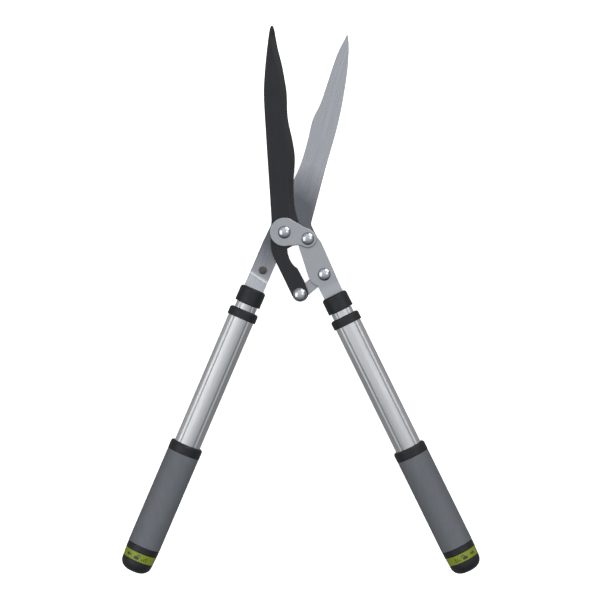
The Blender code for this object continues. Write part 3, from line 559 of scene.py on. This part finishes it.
class Recipe:
    """A procedural material in the making, on the object's own coordinates."""

    def __init__(self, name, base, roughness, metallic=0.0, **sockets):
        self.material = bpy.data.materials.new(name)
        self.material.use_nodes = True
        self.tree = self.material.node_tree
        self.shader = self.tree.nodes["Principled BSDF"]
        self.set("Base Color", (*base, 1))
        self.set("Roughness", roughness)
        self.set("Metallic", metallic)
        for socket, value in sockets.items():
            self.set(socket.replace("_", " "), value)
        self.height = None
        self.coordinates = self.tree.nodes.new("ShaderNodeTexCoord").outputs["Object"]

    def set(self, socket, value):
        self.shader.inputs[socket].default_value = value

    def node(self, kind, **inputs):
        made = self.tree.nodes.new(kind)
        for name, value in inputs.items():
            socket = made.inputs[name.replace("_", " ")]
            if isinstance(value, bpy.types.NodeSocket):
                self.tree.links.new(value, socket)
            else:
                socket.default_value = value
        return made

    def mapped(self, scale, turn=0.0):
        """Object coordinates turned about Z and stretched, in millimetres."""
        rotation = (0, 0, math.radians(turn))
        rotated = self.node("ShaderNodeMapping", Vector=self.coordinates, Rotation=rotation)
        stretched = tuple(1000 / s for s in scale)
        return self.node("ShaderNodeMapping", Vector=rotated.outputs[0], Scale=stretched).outputs[0]

    def noise(self, scale, turn, detail, roughness=0.55):
        """Noise whose grains have about this size in millimetres along each axis."""
        place = self.mapped(scale, turn)
        settings = {"Scale": 1.0, "Detail": detail, "Roughness": roughness}
        return self.node("ShaderNodeTexNoise", Vector=place, **settings).outputs["Fac"]

    def span(self, value, low, high, start=0.3, end=0.7):
        """A value moved from the range start to end into the range low to high."""
        ranges = {"From_Min": start, "From_Max": end, "To_Min": low, "To_Max": high}
        return self.node("ShaderNodeMapRange", Value=value, **ranges).outputs["Result"]

    def tint(self, share, colour, amount):
        """Mixes a colour over the base by a share from 0 to 1."""
        mix = self.tree.nodes.new("ShaderNodeMix")
        mix.data_type = "RGBA"
        sockets = {socket.identifier: socket for socket in (*mix.inputs, *mix.outputs)}
        under = self.shader.inputs["Base Color"]
        if under.is_linked:
            self.tree.links.new(under.links[0].from_socket, sockets["A_Color"])
        else:
            sockets["A_Color"].default_value = tuple(under.default_value)
        sockets["B_Color"].default_value = (*colour, 1)
        scaled = self.node("ShaderNodeMath", Value=share)
        scaled.operation = "MULTIPLY"
        scaled.inputs[1].default_value = amount
        self.tree.links.new(scaled.outputs[0], sockets["Factor_Float"])
        self.tree.links.new(sockets["Result_Color"], under)

    def brushed(self, turn, share):
        """Fine parallel scratches along -Y turned by an angle: they spread highlights crosswise."""
        angle = math.radians(turn)
        turned = self.node("ShaderNodeVectorTransform", Vector=(math.sin(angle), -math.cos(angle), 0))
        turned.vector_type = "VECTOR"
        turned.convert_from = "OBJECT"
        turned.convert_to = "WORLD"
        self.set("Anisotropic", share)
        self.set("Anisotropic Rotation", 0.25)
        self.tree.links.new(turned.outputs[0], self.shader.inputs["Tangent"])

    def rough(self, value):
        self.tree.links.new(value, self.shader.inputs["Roughness"])
        return self

    def bump(self, height, distance, strength=1.0):
        """Adds relief of so many millimetres on top of what is there."""
        made = self.node("ShaderNodeBump", Height=height, Distance=distance * MM, Strength=strength)
        if self.height:
            self.tree.links.new(self.height, made.inputs["Normal"])
        self.height = made.outputs["Normal"]
        self.tree.links.new(self.height, self.shader.inputs["Normal"])
        return self


def brushed_steel(turn):
    """Blade steel, ground lengthwise: fine lines, broader bands, and painted shade that darkens it round
    the pivot.
    """
    steel = Recipe("brushed_blade_steel", (0.43, 0.44, 0.46), 0.30, 1.0)
    fine = steel.noise((0.8, 60, 3), -turn, 3, 0.5)
    bands = steel.noise((3.0, 120, 6), -turn, 2)
    patchy_noise = steel.noise((14, 22, 10), -turn, 3)
    steel.tint(steel.span(bands, 0, 1), (0.50, 0.51, 0.535), 0.5)
    steel.tint(steel.span(fine, 0, 1, 0.4, 0.75), (0.31, 0.32, 0.34), 0.5)
    # Painted shade: the steel is darkened round the pivot and fades out with a ragged edge.
    away = steel.node("ShaderNodeVectorMath", Vector=steel.coordinates)
    away.operation = "DISTANCE"
    away.inputs[1].default_value = PAINTED_SHADE_MIDDLE
    ragged = steel.node("ShaderNodeMath", Value=patchy_noise)
    ragged.operation = "MULTIPLY_ADD"
    ragged.inputs[1].default_value = 0.016
    steel.tree.links.new(away.outputs["Value"], ragged.inputs[2])
    steel.tint(steel.span(ragged.outputs[0], 1, 0, *PAINTED_SHADE_FADE), (0.12, 0.125, 0.14), 0.9)
    steel.rough(steel.span(patchy_noise, 0.22, 0.28)).brushed(turn, 0.95)
    return steel.bump(fine, 0.004).material


def plated_steel():
    """Stamped and tumbled sheet with a satin plating: a fine, faintly speckled grain."""
    steel = Recipe("satin_plated_steel", (0.43, 0.44, 0.46), 0.42, 1.0)
    grain = steel.noise((0.9, 0.9, 0.9), 0, 3, 0.6)
    speckle = steel.noise((1.8, 1.8, 1.8), 0, 3, 0.6)
    cloud = steel.noise((13, 13, 13), 0, 3)
    steel.tint(steel.span(speckle, 0, 1, 0.42, 0.7), (0.34, 0.35, 0.37), 0.45)
    steel.tint(steel.span(cloud, 0, 1), (0.47, 0.48, 0.50), 0.35)
    steel.rough(steel.span(grain, 0.36, 0.46))
    return steel.bump(grain, 0.012).bump(speckle, 0.015).material


def coated_steel(turn):
    """Black non-stick coating: sprayed, with a fine orange peel and a few faint rubs along the blade."""
    coat = Recipe("black_coated_steel", (0.009, 0.009, 0.011), 0.42)
    coat.set("Specular IOR Level", 0.33)
    peel = coat.noise((1.1, 1.1, 1.1), 0, 3)
    rubs = coat.noise((1.6, 60, 2), -turn, 3, 0.5)
    cloud = coat.noise((18, 30, 18), -turn, 3)
    coat.tint(coat.span(rubs, 0, 1, 0.5, 0.8), (0.022, 0.022, 0.025), 0.5)
    coat.tint(coat.span(cloud, 0, 1), (0.013, 0.013, 0.016), 0.6)
    coat.rough(coat.span(cloud, 0.38, 0.47))
    return coat.bump(peel, 0.012).material


def chrome():
    """Polished plating with hairline wear."""
    bright = Recipe("chromed_steel", (0.56, 0.57, 0.60), 0.1, 1.0)
    hair = bright.noise((0.12, 3, 0.12), 35, 3)
    haze = bright.noise((3, 3, 3), 0, 3)
    bright.tint(bright.span(haze, 0, 1), (0.48, 0.49, 0.53), 0.4)
    bright.rough(bright.span(haze, 0.09, 0.14))
    return bright.bump(hair, 0.004, 0.3).material


def aluminium(side):
    """Drawn tube, brushed lengthwise and anodised clear."""
    turn = HANDLES[side]["angle"]
    metal = Recipe(f"brushed_aluminium_{side}", (0.69, 0.69, 0.695), 0.36, 1.0)
    lines = metal.noise((0.7, 90, 0.7), -turn, 3, 0.5)
    bands = metal.noise((2.2, 260, 2.2), -turn, 2)
    cloud = metal.noise((20, 60, 20), -turn, 2)
    metal.tint(metal.span(bands, 0, 1), (0.58, 0.585, 0.60), 0.5)
    metal.tint(metal.span(lines, 0, 1, 0.4, 0.8), (0.46, 0.465, 0.48), 0.4)
    metal.rough(metal.span(cloud, 0.33, 0.40)).brushed(turn, 0.9)
    return metal.bump(lines, 0.004).material


def black_plastic():
    """Glass-filled nylon with a fine spark-eroded texture."""
    plastic = Recipe("black_plastic", (0.008, 0.009, 0.011), 0.5)
    plastic.set("Specular IOR Level", 0.36)
    grain = plastic.noise((0.8, 0.8, 0.8), 0, 3, 0.6)
    cloud = plastic.noise((7, 7, 12), 0, 3)
    plastic.tint(plastic.span(cloud, 0, 1), (0.014, 0.015, 0.018), 0.7)
    plastic.rough(plastic.span(grain, 0.45, 0.58))
    return plastic.bump(grain, 0.02).material


def foam():
    """Dense grey grip foam: closed cells, slight mottling along the sleeve, a soft sheen."""
    grip = Recipe("grey_grip", (0.110, 0.116, 0.128), 0.75, 0.0, Sheen_Weight=0.05, Sheen_Roughness=0.4)
    grip.set("Specular IOR Level", 0.2)
    cells = grip.node("ShaderNodeTexVoronoi", Vector=grip.mapped((1.3, 1.3, 1.3)), Scale=1.0)
    fine = grip.noise((0.8, 0.8, 0.8), 0, 3, 0.65)
    mottle = grip.noise((7, 18, 7), 0, 3)
    grip.tint(grip.span(mottle, 0, 1), (0.130, 0.137, 0.150), 0.6)
    grip.tint(grip.span(fine, 0, 1, 0.45, 0.8), (0.080, 0.085, 0.094), 0.5)
    grip.rough(grip.span(fine, 0.66, 0.82))
    return grip.bump(cells.outputs["Distance"], 0.04).bump(fine, 0.04).material


def green_plastic():
    plastic = Recipe("green_plastic", (0.175, 0.215, 0.009), 0.42)
    grain = plastic.noise((0.4, 0.4, 0.4), 0, 3, 0.6)
    cloud = plastic.noise((5, 5, 5), 0, 3)
    plastic.tint(plastic.span(cloud, 0, 1), (0.205, 0.25, 0.013), 0.5)
    plastic.rough(plastic.span(grain, 0.38, 0.5))
    return plastic.bump(grain, 0.02, 0.5).material


def rubber():
    soft = Recipe("buffer_rubber", (0.035, 0.032, 0.028), 0.5)
    grain = soft.noise((0.5, 0.5, 0.5), 0, 4, 0.7)
    dust = soft.noise((2.2, 2.2, 2.2), 0, 3)
    soft.tint(soft.span(dust, 0, 1), (0.07, 0.066, 0.06), 0.6)
    soft.rough(soft.span(dust, 0.42, 0.62))
    return soft.bump(grain, 0.05, 0.6).material


def nylon():
    plain = Recipe("white_nylon", (0.61, 0.60, 0.55), 0.5, 0.0, Subsurface_Weight=0.1)
    grain = plain.noise((0.6, 0.6, 0.6), 0, 3)
    cloud = plain.noise((5, 5, 5), 0, 3)
    plain.tint(plain.span(cloud, 0, 1), (0.54, 0.53, 0.47), 0.6)
    plain.rough(plain.span(grain, 0.45, 0.58))
    return plain.bump(grain, 0.02, 0.5).material


def ink():
    """Printed pad ink, a little worn."""
    printed = Recipe("pad_print", (0.03, 0.035, 0.02), 0.5)
    wear = printed.noise((0.5, 0.5, 0.5), 0, 4, 0.7)
    printed.tint(printed.span(wear, 0, 1, 0.55, 0.8), (0.12, 0.15, 0.03), 0.6)
    printed.rough(printed.span(wear, 0.45, 0.6))
    return printed.bump(wear, 0.01, 0.4).material


BLADE_TURN = {"upper_blade": 4.0, "lower_blade": -17.5}
MATERIALS = {
    "satin_plated_steel": plated_steel(),
    "chromed_steel": chrome(),
    "black_plastic": black_plastic(),
    "grey_grip": foam(),
    "green_plastic": green_plastic(),
    "buffer_rubber": rubber(),
    "white_nylon": nylon(),
    "black_coated_steel": coated_steel(BLADE_TURN["upper_blade"]),
    "brushed_blade_steel": brushed_steel(BLADE_TURN["lower_blade"]),
}
TUBE_LOOKS = {side: aluminium(side) for side in HANDLES}
PRINT = ink()


def look(node):
    if SLOTS[node] == "brushed_aluminium":
        return TUBE_LOOKS[node.split("_")[0]]
    return MATERIALS[SLOTS[node]]


def body_of(node):
    for body, members in frame["record"]["behaviour"]["bodies"].items():
        if node in members:
            return body
    raise KeyError(node)


def make(node, work, matrix, sharp=SHARP_ANGLE):
    return finish_mesh(f"{node}_shape", work, matrix, body_of(node), node, look(node), sharp)


def loose(work, matrix):
    """A mesh that is only there to cut another."""
    return finish_mesh("cutter", work, matrix, None, None, None)


# ---------------------------------------------------------------- the head


def make_blade(node, outline, layer, holes, ground_on_top, setback):
    """A blade with its cutting edge ground back on one side."""
    edge, rest = outline
    loop = without_doubles(edge + rest)
    edge = [p for p in loop if any(p is q for q in edge)]
    share = edge_share(edge, len(loop))
    ordered = turned_left(loop)
    if ordered[0] is not loop[0]:
        share = share[::-1]
    work = sheet_mesh(ordered, layer, (0.35, 0.35), holes, (share, setback, ground_on_top))
    if node == "lower_blade":
        bend_tang(work, "left")
    make(node, work, HEAD)


def make_plates():
    pin = {side: circle(on_handle(side, 0, PIN_STATION), PIN_HOLE, 32) for side in HANDLES}
    stop = circle(BUFFER_PLACE, BUFFER_HOLE, 32)
    holes = [circle(MAIN_PIVOT, BOLT_HOLE), circle(SIDE_PIVOT, BOLT_HOLE), stop, pin["left"]]
    make_blade("lower_blade", lower_blade_outline(), BACK, holes, False, LOWER_BEVEL)
    holes = [circle(MAIN_PIVOT, BOLT_HOLE), square(BLADE_LINK_PIVOT, BOLT_HOLE)]
    make_blade("upper_blade", upper_blade_outline(), MIDDLE, holes, True, UPPER_BEVEL)
    outline = turned_left(without_doubles(arm_plate_outline()))
    holes = [circle(SIDE_PIVOT, BOLT_HOLE), square(ARM_LINK_PIVOT, BOLT_HOLE), pin["right"]]
    work = sheet_mesh(outline, MIDDLE, (0.35, 0.5), holes)
    bend_tang(work, "right")
    make("right_arm_plate", work, HEAD)
    holes = [square(MAIN_PIVOT, BOLT_HOLE), square(SIDE_PIVOT, BOLT_HOLE)]
    outline = turned_left(without_doubles(pivot_plate_outline()))
    make("pivot_plate", sheet_mesh(outline, FRONT, (0.3, 1.0), holes), HEAD)
    bar = bar_outline(ARM_LINK_PIVOT, BLADE_LINK_PIVOT, LINK_HALF_WIDTH)
    holes = [circle(ARM_LINK_PIVOT, BOLT_HOLE), circle(BLADE_LINK_PIVOT, PLAY_HOLE)]
    make("drive_link", sheet_mesh(turned_left(without_doubles(bar)), BACK, (0.35, 0.45), holes), HEAD)


def on_head(place):
    """The head's frame moved to a point of the shear plane."""
    return HEAD @ Matrix.Translation(Vector((*place, 0)) * MM)


def make_buffer():
    """The rubber stop: a domed button, a stem through the tang and a barb behind it."""
    radius, side_top, crown, base = 4.7, 2.8, 1.6, 0.1
    stem, barb, tip, foot, end = 2.2, 3.2, 1.2, -4.0, -6.2
    dome = dome_profile(radius, crown, side_top, 12)
    below = [
        (radius, side_top, 0.4), (radius, base, 0.3), (stem, base), (stem, foot), (barb, foot, 0.2),
        (tip, end, 0.3), (0, end),
    ]
    profile = dome + fillet([dome[-1], *below], False)[1:]
    make("stop_buffer", lathe_mesh(profile, False, 48), on_head(BUFFER_PLACE))


def make_bolt(name, matrix, head_base):
    """A bolt with a domed head and a square neck."""
    neck_width, neck_height, neck_middle = 6.0, 2.7, head_base - 1.25
    dome = dome_profile(DOME_RADIUS, DOME_HEIGHT, head_base, 20)
    rim = [
        (DOME_RADIUS - 0.02, head_base + 0.35), (DOME_RADIUS - 0.15, head_base + 0.1),
        (DOME_RADIUS - 0.5, head_base),
    ]
    tail = [(SHANK_RADIUS, head_base), (SHANK_RADIUS, BOLT_END + 0.6), (2.4, BOLT_END), (0, BOLT_END)]
    bolt = make(f"{name}_bolt", lathe_mesh([*dome, *rim, *tail], False, 72), matrix, 40)
    neck = block_mesh((neck_width, neck_width, neck_height), (0, 0, neck_middle))
    cut(bolt, loose(neck, matrix), "UNION", 40)


def make_nut(name, matrix, top):
    """A lock nut with a nylon collar: a hexagon, turned round at its corners and its collar."""
    base = top - NUT_HEIGHT
    corner = NUT_HALF_WIDTH / math.cos(math.pi / 6)
    prism = bmesh.new()
    bmesh.ops.create_cone(
        prism, cap_ends=True, segments=6, radius1=corner, radius2=corner, depth=NUT_HEIGHT,
        matrix=Matrix.Translation((0, 0, top - NUT_HEIGHT / 2)),
    )
    nut = make(f"{name}_nut", prism, matrix)
    barrel = [
        (0, top + 1), (4.0, top + 1), (corner + 0.3, top - 0.6), (corner + 0.3, base + 2.2),
        (4.8, base + 1.6, 0.3), (4.7, base + 0.5, 0.5), (3.9, base - 0.1), (0, base - 0.1),
    ]
    cut(nut, loose(lathe_mesh(fillet(barrel, False), False, 64), matrix), "INTERSECT")
    cut(nut, loose(rod_mesh(BOLT_HOLE, base - 1, top + 1, 48), matrix))


def make_fastener(name, place, seat):
    """A bolt whose head is over its seat, with a washer and a nut behind all the sheets."""
    matrix = on_head(place)
    make_bolt(name, matrix, seat + GAP)
    top = BACK[0] - GAP
    base = top - WASHER_THICKNESS
    outside = [(WASHER_RADIUS, top, 0.25), (WASHER_RADIUS, base, 0.25)]
    washer = fillet([*outside, (BOLT_HOLE, base), (BOLT_HOLE, top)], True)
    make(f"{name}_washer", lathe_mesh(washer, True, 64), matrix)
    make_nut(name, matrix, base - GAP)


# ---------------------------------------------------------------- the handles


def make_tube(node, matrix, radius, wall, start, end):
    """A drawn tube, with the same flutes inside and outside."""
    inner = radius - wall
    corners = [(radius, end, 0.3), (radius, start, 0.3), (inner, start), (inner, end)]

    def drawn(reach, station, angle):
        return reach - radius + fluted(radius, angle)

    return make(node, lathe_mesh(fillet(corners, True, 3), True, TUBE_POINTS, drawn), matrix)


def pin_hole(matrix):
    """A cutter for the cross pin's hole through a handle."""
    across = Matrix.Rotation(math.pi / 2, 4, "X")
    place = matrix @ Matrix.Translation((0, 0, PIN_STATION * MM)) @ across
    return loose(rod_mesh(PIN_HOLE, -20, 20, 32), place)


def make_ferrule(side, matrix):
    """The tang's socket: a spigot inside the tube, a slot for the shoulders and one for the tongue."""
    step, end = SPIGOT
    corners = [
        (0, end), (SPIGOT_RADIUS, end, 0.8), (SPIGOT_RADIUS, step), (FERRULE_RADIUS, step, 0.35),
        (FERRULE_RADIUS, 0.0, 3.4), (0, 0.0),
    ]
    ferrule = make(f"{side}_ferrule", lathe_mesh(fillet(corners, False, 8), False), matrix)
    shoulders = block_mesh((2 * (TANG_HALF + GAP), 4.1, 16.3), (0, 0, 6.15))
    cut(ferrule, loose(shoulders, matrix))
    tongue = block_mesh((2 * (TONGUE_HALF + GAP), 4.0, 60.0), (0, 0, 28.3))
    cut(ferrule, loose(tongue, matrix))
    cut(ferrule, pin_hole(matrix))


def make_collar(side, matrix):
    top, bottom = COLLAR
    lip_radius = COLLAR_LIP_RADIUS
    keyed_radius, fade = 14.6, 1.2
    corners = [
        (COLLAR_RADIUS, bottom, 0.35), (COLLAR_RADIUS, top, 3.0), (lip_radius, top, 0.3),
        (lip_radius, COLLAR_LIP), (GRIP_BORE, COLLAR_LIP), (GRIP_BORE, bottom),
    ]

    def keyed(radius, station, angle):
        """The lip's bore follows the inner tube's flutes, and the outside stays round."""
        share = min(max((keyed_radius - radius) / fade, 0), 1)
        return radius - share * (lip_radius - fluted(lip_radius, angle))

    make(f"{side}_tube_collar", lathe_mesh(fillet(corners, True, 8), True, TUBE_POINTS, keyed), matrix)


def make_ring(node, matrix, outside, bore, segments=96):
    """A ring from the outer corners of its section, drawn upwards, and its plain bore."""
    inside = [(bore, outside[-1][1]), (bore, outside[0][1])]
    make(node, lathe_mesh(fillet([*outside, *inside], True), True, segments), matrix)


def make_rings(side, matrix):
    top, bottom = TOP_RING
    stepped = [(19.9, bottom, 0.2), (19.9, 203.3, 1.2), (19.1, 201.6, 0.9), (17.7, top, 0.6)]
    make_ring(f"{side}_grip_top_ring", matrix, stepped, GRIP_BORE)
    top, bottom = BASE_RING
    straight = [(BASE_RING_RADIUS, bottom, 0.2), (BASE_RING_RADIUS, top, 0.3)]
    make_ring(f"{side}_grip_base_ring", matrix, straight, GRIP_BORE)
    top, bottom = SLEEVE
    straight = [(SLEEVE_RADIUS, bottom, 0.7), (SLEEVE_RADIUS, top, 0.7)]
    make_ring(f"{side}_grip_sleeve", matrix, straight, GRIP_BORE, 128)
    top, bottom = LOCK_RING
    tapered = [(CAP_RADIUS, bottom, 0.2), (LOCK_RING_RADIUS, top, 0.25)]
    make_ring(f"{side}_lock_ring", matrix, tapered, LOCK_RING_BORE)


def make_cap(side, matrix):
    """The domed end cap, with its hub in the end bush and a square hole for the lock spindle."""
    power = 2 / 2.6
    first = math.pi / 2 * 2 / 7
    turns = [first + (math.pi / 2 - first) * k / 24 for k in range(25)]
    height = CAP_HEIGHT / math.cos(first) ** power
    dome = []
    for a in turns:
        station = CAP_START + height * max(math.cos(a), 0) ** power
        dome.append((CAP_RADIUS * math.sin(a) ** power, station))
    flat_radius, flat_station = dome[0]
    skirt, hub, groove = 15.5, 5.5, 4.9
    hub_top, groove_top, groove_base = 313.5, 316.5, 317.9
    inside = [
        (skirt, CAP_START), (skirt, LOCK_RING[0]), (hub, LOCK_RING[0]), (hub, groove_base),
        (groove, groove_base), (groove, groove_top), (hub, groove_top), (hub, hub_top), (0, hub_top),
    ]
    profile = [(0, flat_station), (flat_radius - 0.8, flat_station), *dome, *inside]
    cap = make(f"{side}_end_cap", lathe_mesh(profile, False), matrix)
    spindle_width, hole_length, hole_middle = 5.6, 33.5, 328.25
    hole = block_mesh((spindle_width, spindle_width, hole_length), (0, 0, hole_middle))
    cut(cap, loose(hole, matrix))


def wrapped(name, shapes, side, matrix):
    """Printed signs on the lock ring: flat shapes in (along the girth, along the axis), laid round it."""
    girth_radius, strip, lift, sink = 19.1, 0.7, 0.05, 0.15
    work = bmesh.new()
    for shape in shapes:
        loops = [[Vector((u, v, 0)) for u, v in loop] for loop in shape]
        verts = [work.verts.new(point) for loop in loops for point in loop]
        for a, b, c in tessellate_polygon(loops):
            work.faces.new((verts[a], verts[b], verts[c]))
    bmesh.ops.remove_doubles(work, verts=work.verts, dist=0.001)
    for k in range(-25, 26):
        split_mesh(work, (k * strip + 0.05, 0, 0), (1, 0, 0), 1e-5)
    bmesh.ops.recalc_face_normals(work, faces=work.faces)
    extruded = bmesh.ops.extrude_face_region(work, geom=work.faces[:])
    for element in extruded["geom"]:
        if isinstance(element, bmesh.types.BMVert):
            element.co.z = 1
    for vertex in work.verts:
        u, v, lifted = vertex.co
        surface = LOCK_RING_RADIUS - LOCK_RING_TAPER * (v - LOCK_RING[0])
        reach = surface + (lift if lifted > 0.5 else -sink)
        angle = math.pi / 2 - u / girth_radius
        vertex.co = (reach * math.cos(angle), reach * math.sin(angle), v)
    piece = finish_mesh(name, work, matrix, f"{side}_lock", None, PRINT)


def arc_point(degrees):
    return math.cos(math.radians(degrees)), -math.sin(math.radians(degrees))


def make_signs(side, matrix):
    """An arrow for the way to turn, an open padlock, and three ticks."""
    way = -1 if side == "left" else 1
    middle = 344.5

    def put(points):
        return [(way * u, middle + v) for u, v in points]

    barbs = [(16.6, 0), (13.2, -2.9), (13.9, -0.9), (9.8, -0.9), (9.8, 0.9), (13.9, 0.9), (13.2, 2.9)]
    arrow = [[put(barbs)]]
    body = [[put([(-0.6, -0.4), (5.4, -0.4), (5.4, 3.0), (-0.6, 3.0)])]]
    outer = [(u * 2.3 + 0.3, v * 2.0 - 1.1) for u, v in (arc_point(a) for a in range(0, 181, 15))]
    inner = [(u * 1.3 + 0.3, v * 1.1 - 1.1) for u, v in (arc_point(a) for a in range(180, -1, -15))]
    shackle = [[put([(2.6, -0.4), *outer, (-2.0, -0.4), (-1.0, -0.4), *inner, (1.6, -0.4)])]]
    ticks = [
        [put([(u, 3.0 - tall), (u + 1.1, 3.0 - tall), (u + 1.1, 3.0), (u, 3.0)])]
        for u, tall in ((-5.2, 2.6), (-7.9, 4.2), (-10.6, 5.8))
    ]
    wrapped(f"{side}_turn_arrow", arrow, side, matrix)
    wrapped(f"{side}_open_sign", body + shackle, side, matrix)
    wrapped(f"{side}_grade_ticks", ticks, side, matrix)


def make_handle(side):
    matrix = HANDLE[side]
    make_ferrule(side, matrix)
    tube = make_tube(f"{side}_inner_tube", matrix, *INNER_TUBE)
    cut(tube, pin_hole(matrix))
    make_tube(f"{side}_outer_tube", matrix, *OUTER_TUBE)
    make_collar(side, matrix)
    make_rings(side, matrix)
    make_cap(side, matrix)
    make_signs(side, matrix)


# ---------------------------------------------------------------- floor, light and camera


def stage_plane(name, height, material):
    half = FLOOR_SIZE / 2
    corners = [(-half, -half, height), (half, -half, height), (half, half, height), (-half, half, height)]
    mesh = bpy.data.meshes.new(name)
    mesh.from_pydata(corners, [], [(0, 1, 2, 3)])
    mesh.materials.append(material)
    plane = bpy.data.objects.new(name, mesh)
    bpy.context.scene.collection.objects.link(plane)
    return plane


def glowing(name, grey, roughness, glow):
    """A dull surface that shines a little by itself."""
    surface = Recipe(name, (grey, grey, grey), roughness)
    surface.set("Specular IOR Level", 0.0)
    surface.set("Emission Color", (1, 1, 1, 1))
    surface.set("Emission Strength", glow)
    return surface.material


def make_floor():
    """The floor, and a sheet under it that stands in for it in reflections."""
    floor = stage_plane("floor", 0, glowing("pale_floor", 0.92, 0.9, FLOOR_GLOW))
    floor.visible_glossy = floor.visible_diffuse = False
    mirror = stage_plane("floor_card", CARD_HEIGHT, glowing("floor_reflection", 0, 1.0, CARD_GLOW))
    mirror.visible_camera = mirror.visible_shadow = False


def softbox(name, azimuth, elevation, size, radiance):
    """A rectangular area light aimed at the head, its size given in degrees as a mirror sees it."""
    light = bpy.data.lights.new(name, "AREA")
    light.shape = "RECTANGLE"
    light.size, light.size_y = (2 * LIGHT_DISTANCE * math.tan(math.radians(angle / 2)) for angle in size)
    light.energy = radiance * math.pi * light.size * light.size_y
    lamp = bpy.data.objects.new(name, light)
    bpy.context.scene.collection.objects.link(lamp)
    a, e = math.radians(azimuth), math.radians(elevation)
    towards = Vector((math.cos(a) * math.cos(e), math.sin(a) * math.cos(e), math.sin(e)))
    lamp.location = towards * LIGHT_DISTANCE
    lamp.rotation_euler = (-lamp.location).to_track_quat("-Z", "Y").to_euler()
    lamp.visible_camera = False
    return lamp


def make_lights():
    softbox("left_box", 180, 44, (46, 34), 1.25)
    softbox("right_box", 56, 25, (36, 26), 2.6)
    softbox("shoulder_box", 22, 52, (24, 22), 1.1)
    softbox("overhead", 270, 86, (60, 60), 1.2).visible_glossy = False


def make_world():
    """A pale sky, brighter overhead and towards the blades, that is plain white to the camera."""
    world = bpy.data.worlds.new("studio")
    bpy.context.scene.world = world
    world.use_nodes = True
    tree = world.node_tree
    sky = tree.nodes["Background"]
    sky.inputs["Color"].default_value = (0.93, 0.965, 1.0, 1)
    place = tree.nodes.new("ShaderNodeTexCoord")
    parts = tree.nodes.new("ShaderNodeSeparateXYZ")
    tree.links.new(place.outputs["Generated"], parts.inputs[0])
    rise = tree.nodes.new("ShaderNodeMapRange")
    rise.interpolation_type = "SMOOTHSTEP"
    for socket, value in (("From Min", 0.1), ("From Max", 0.95), ("To Min", 0.19), ("To Max", 0.77)):
        rise.inputs[socket].default_value = value
    tree.links.new(parts.outputs["Z"], rise.inputs["Value"])
    lean = tree.nodes.new("ShaderNodeMath")
    lean.operation = "MULTIPLY_ADD"
    tree.links.new(parts.outputs["Y"], lean.inputs[0])
    lean.inputs[1].default_value = 0.7
    lean.inputs[2].default_value = 1.0
    strength = tree.nodes.new("ShaderNodeMath")
    strength.operation = "MULTIPLY"
    tree.links.new(rise.outputs["Result"], strength.inputs[0])
    tree.links.new(lean.outputs[0], strength.inputs[1])
    tree.links.new(strength.outputs[0], sky.inputs["Strength"])
    seen = tree.nodes.new("ShaderNodeBackground")
    seen.inputs["Color"].default_value = (1, 1, 1, 1)
    mix = tree.nodes.new("ShaderNodeMixShader")
    rays = tree.nodes.new("ShaderNodeLightPath")
    tree.links.new(rays.outputs["Is Camera Ray"], mix.inputs[0])
    tree.links.new(sky.outputs[0], mix.inputs[1])
    tree.links.new(seen.outputs[0], mix.inputs[2])
    tree.links.new(mix.outputs[0], tree.nodes["World Output"].inputs["Surface"])


def make_camera():
    camera = bpy.data.cameras.new("camera")
    camera.sensor_width = 36
    camera.lens = LENS
    eye = bpy.data.objects.new("camera", camera)
    bpy.context.scene.collection.objects.link(eye)
    eye.location = [place + offset for place, offset in zip(HEAD_PLACE, CAMERA_FROM_HEAD)]
    bpy.context.scene.camera = eye
    bpy.context.scene.view_settings.view_transform = "Standard"


make_plates()
make_buffer()
for fastener, pivot, seat in (
    ("main_pivot", MAIN_PIVOT, FRONT[1]),
    ("side_pivot", SIDE_PIVOT, FRONT[1]),
    ("arm_link", ARM_LINK_PIVOT, MIDDLE[1]),
    ("blade_link", BLADE_LINK_PIVOT, MIDDLE[1]),
):
    make_fastener(fastener, pivot, seat)
for handle_side in HANDLES:
    make_handle(handle_side)
for node_name, item in frame["nodes"].items():
    item.data.materials.clear()
    item.data.materials.append(look(node_name))
make_floor()
make_lights()
make_world()
make_camera()
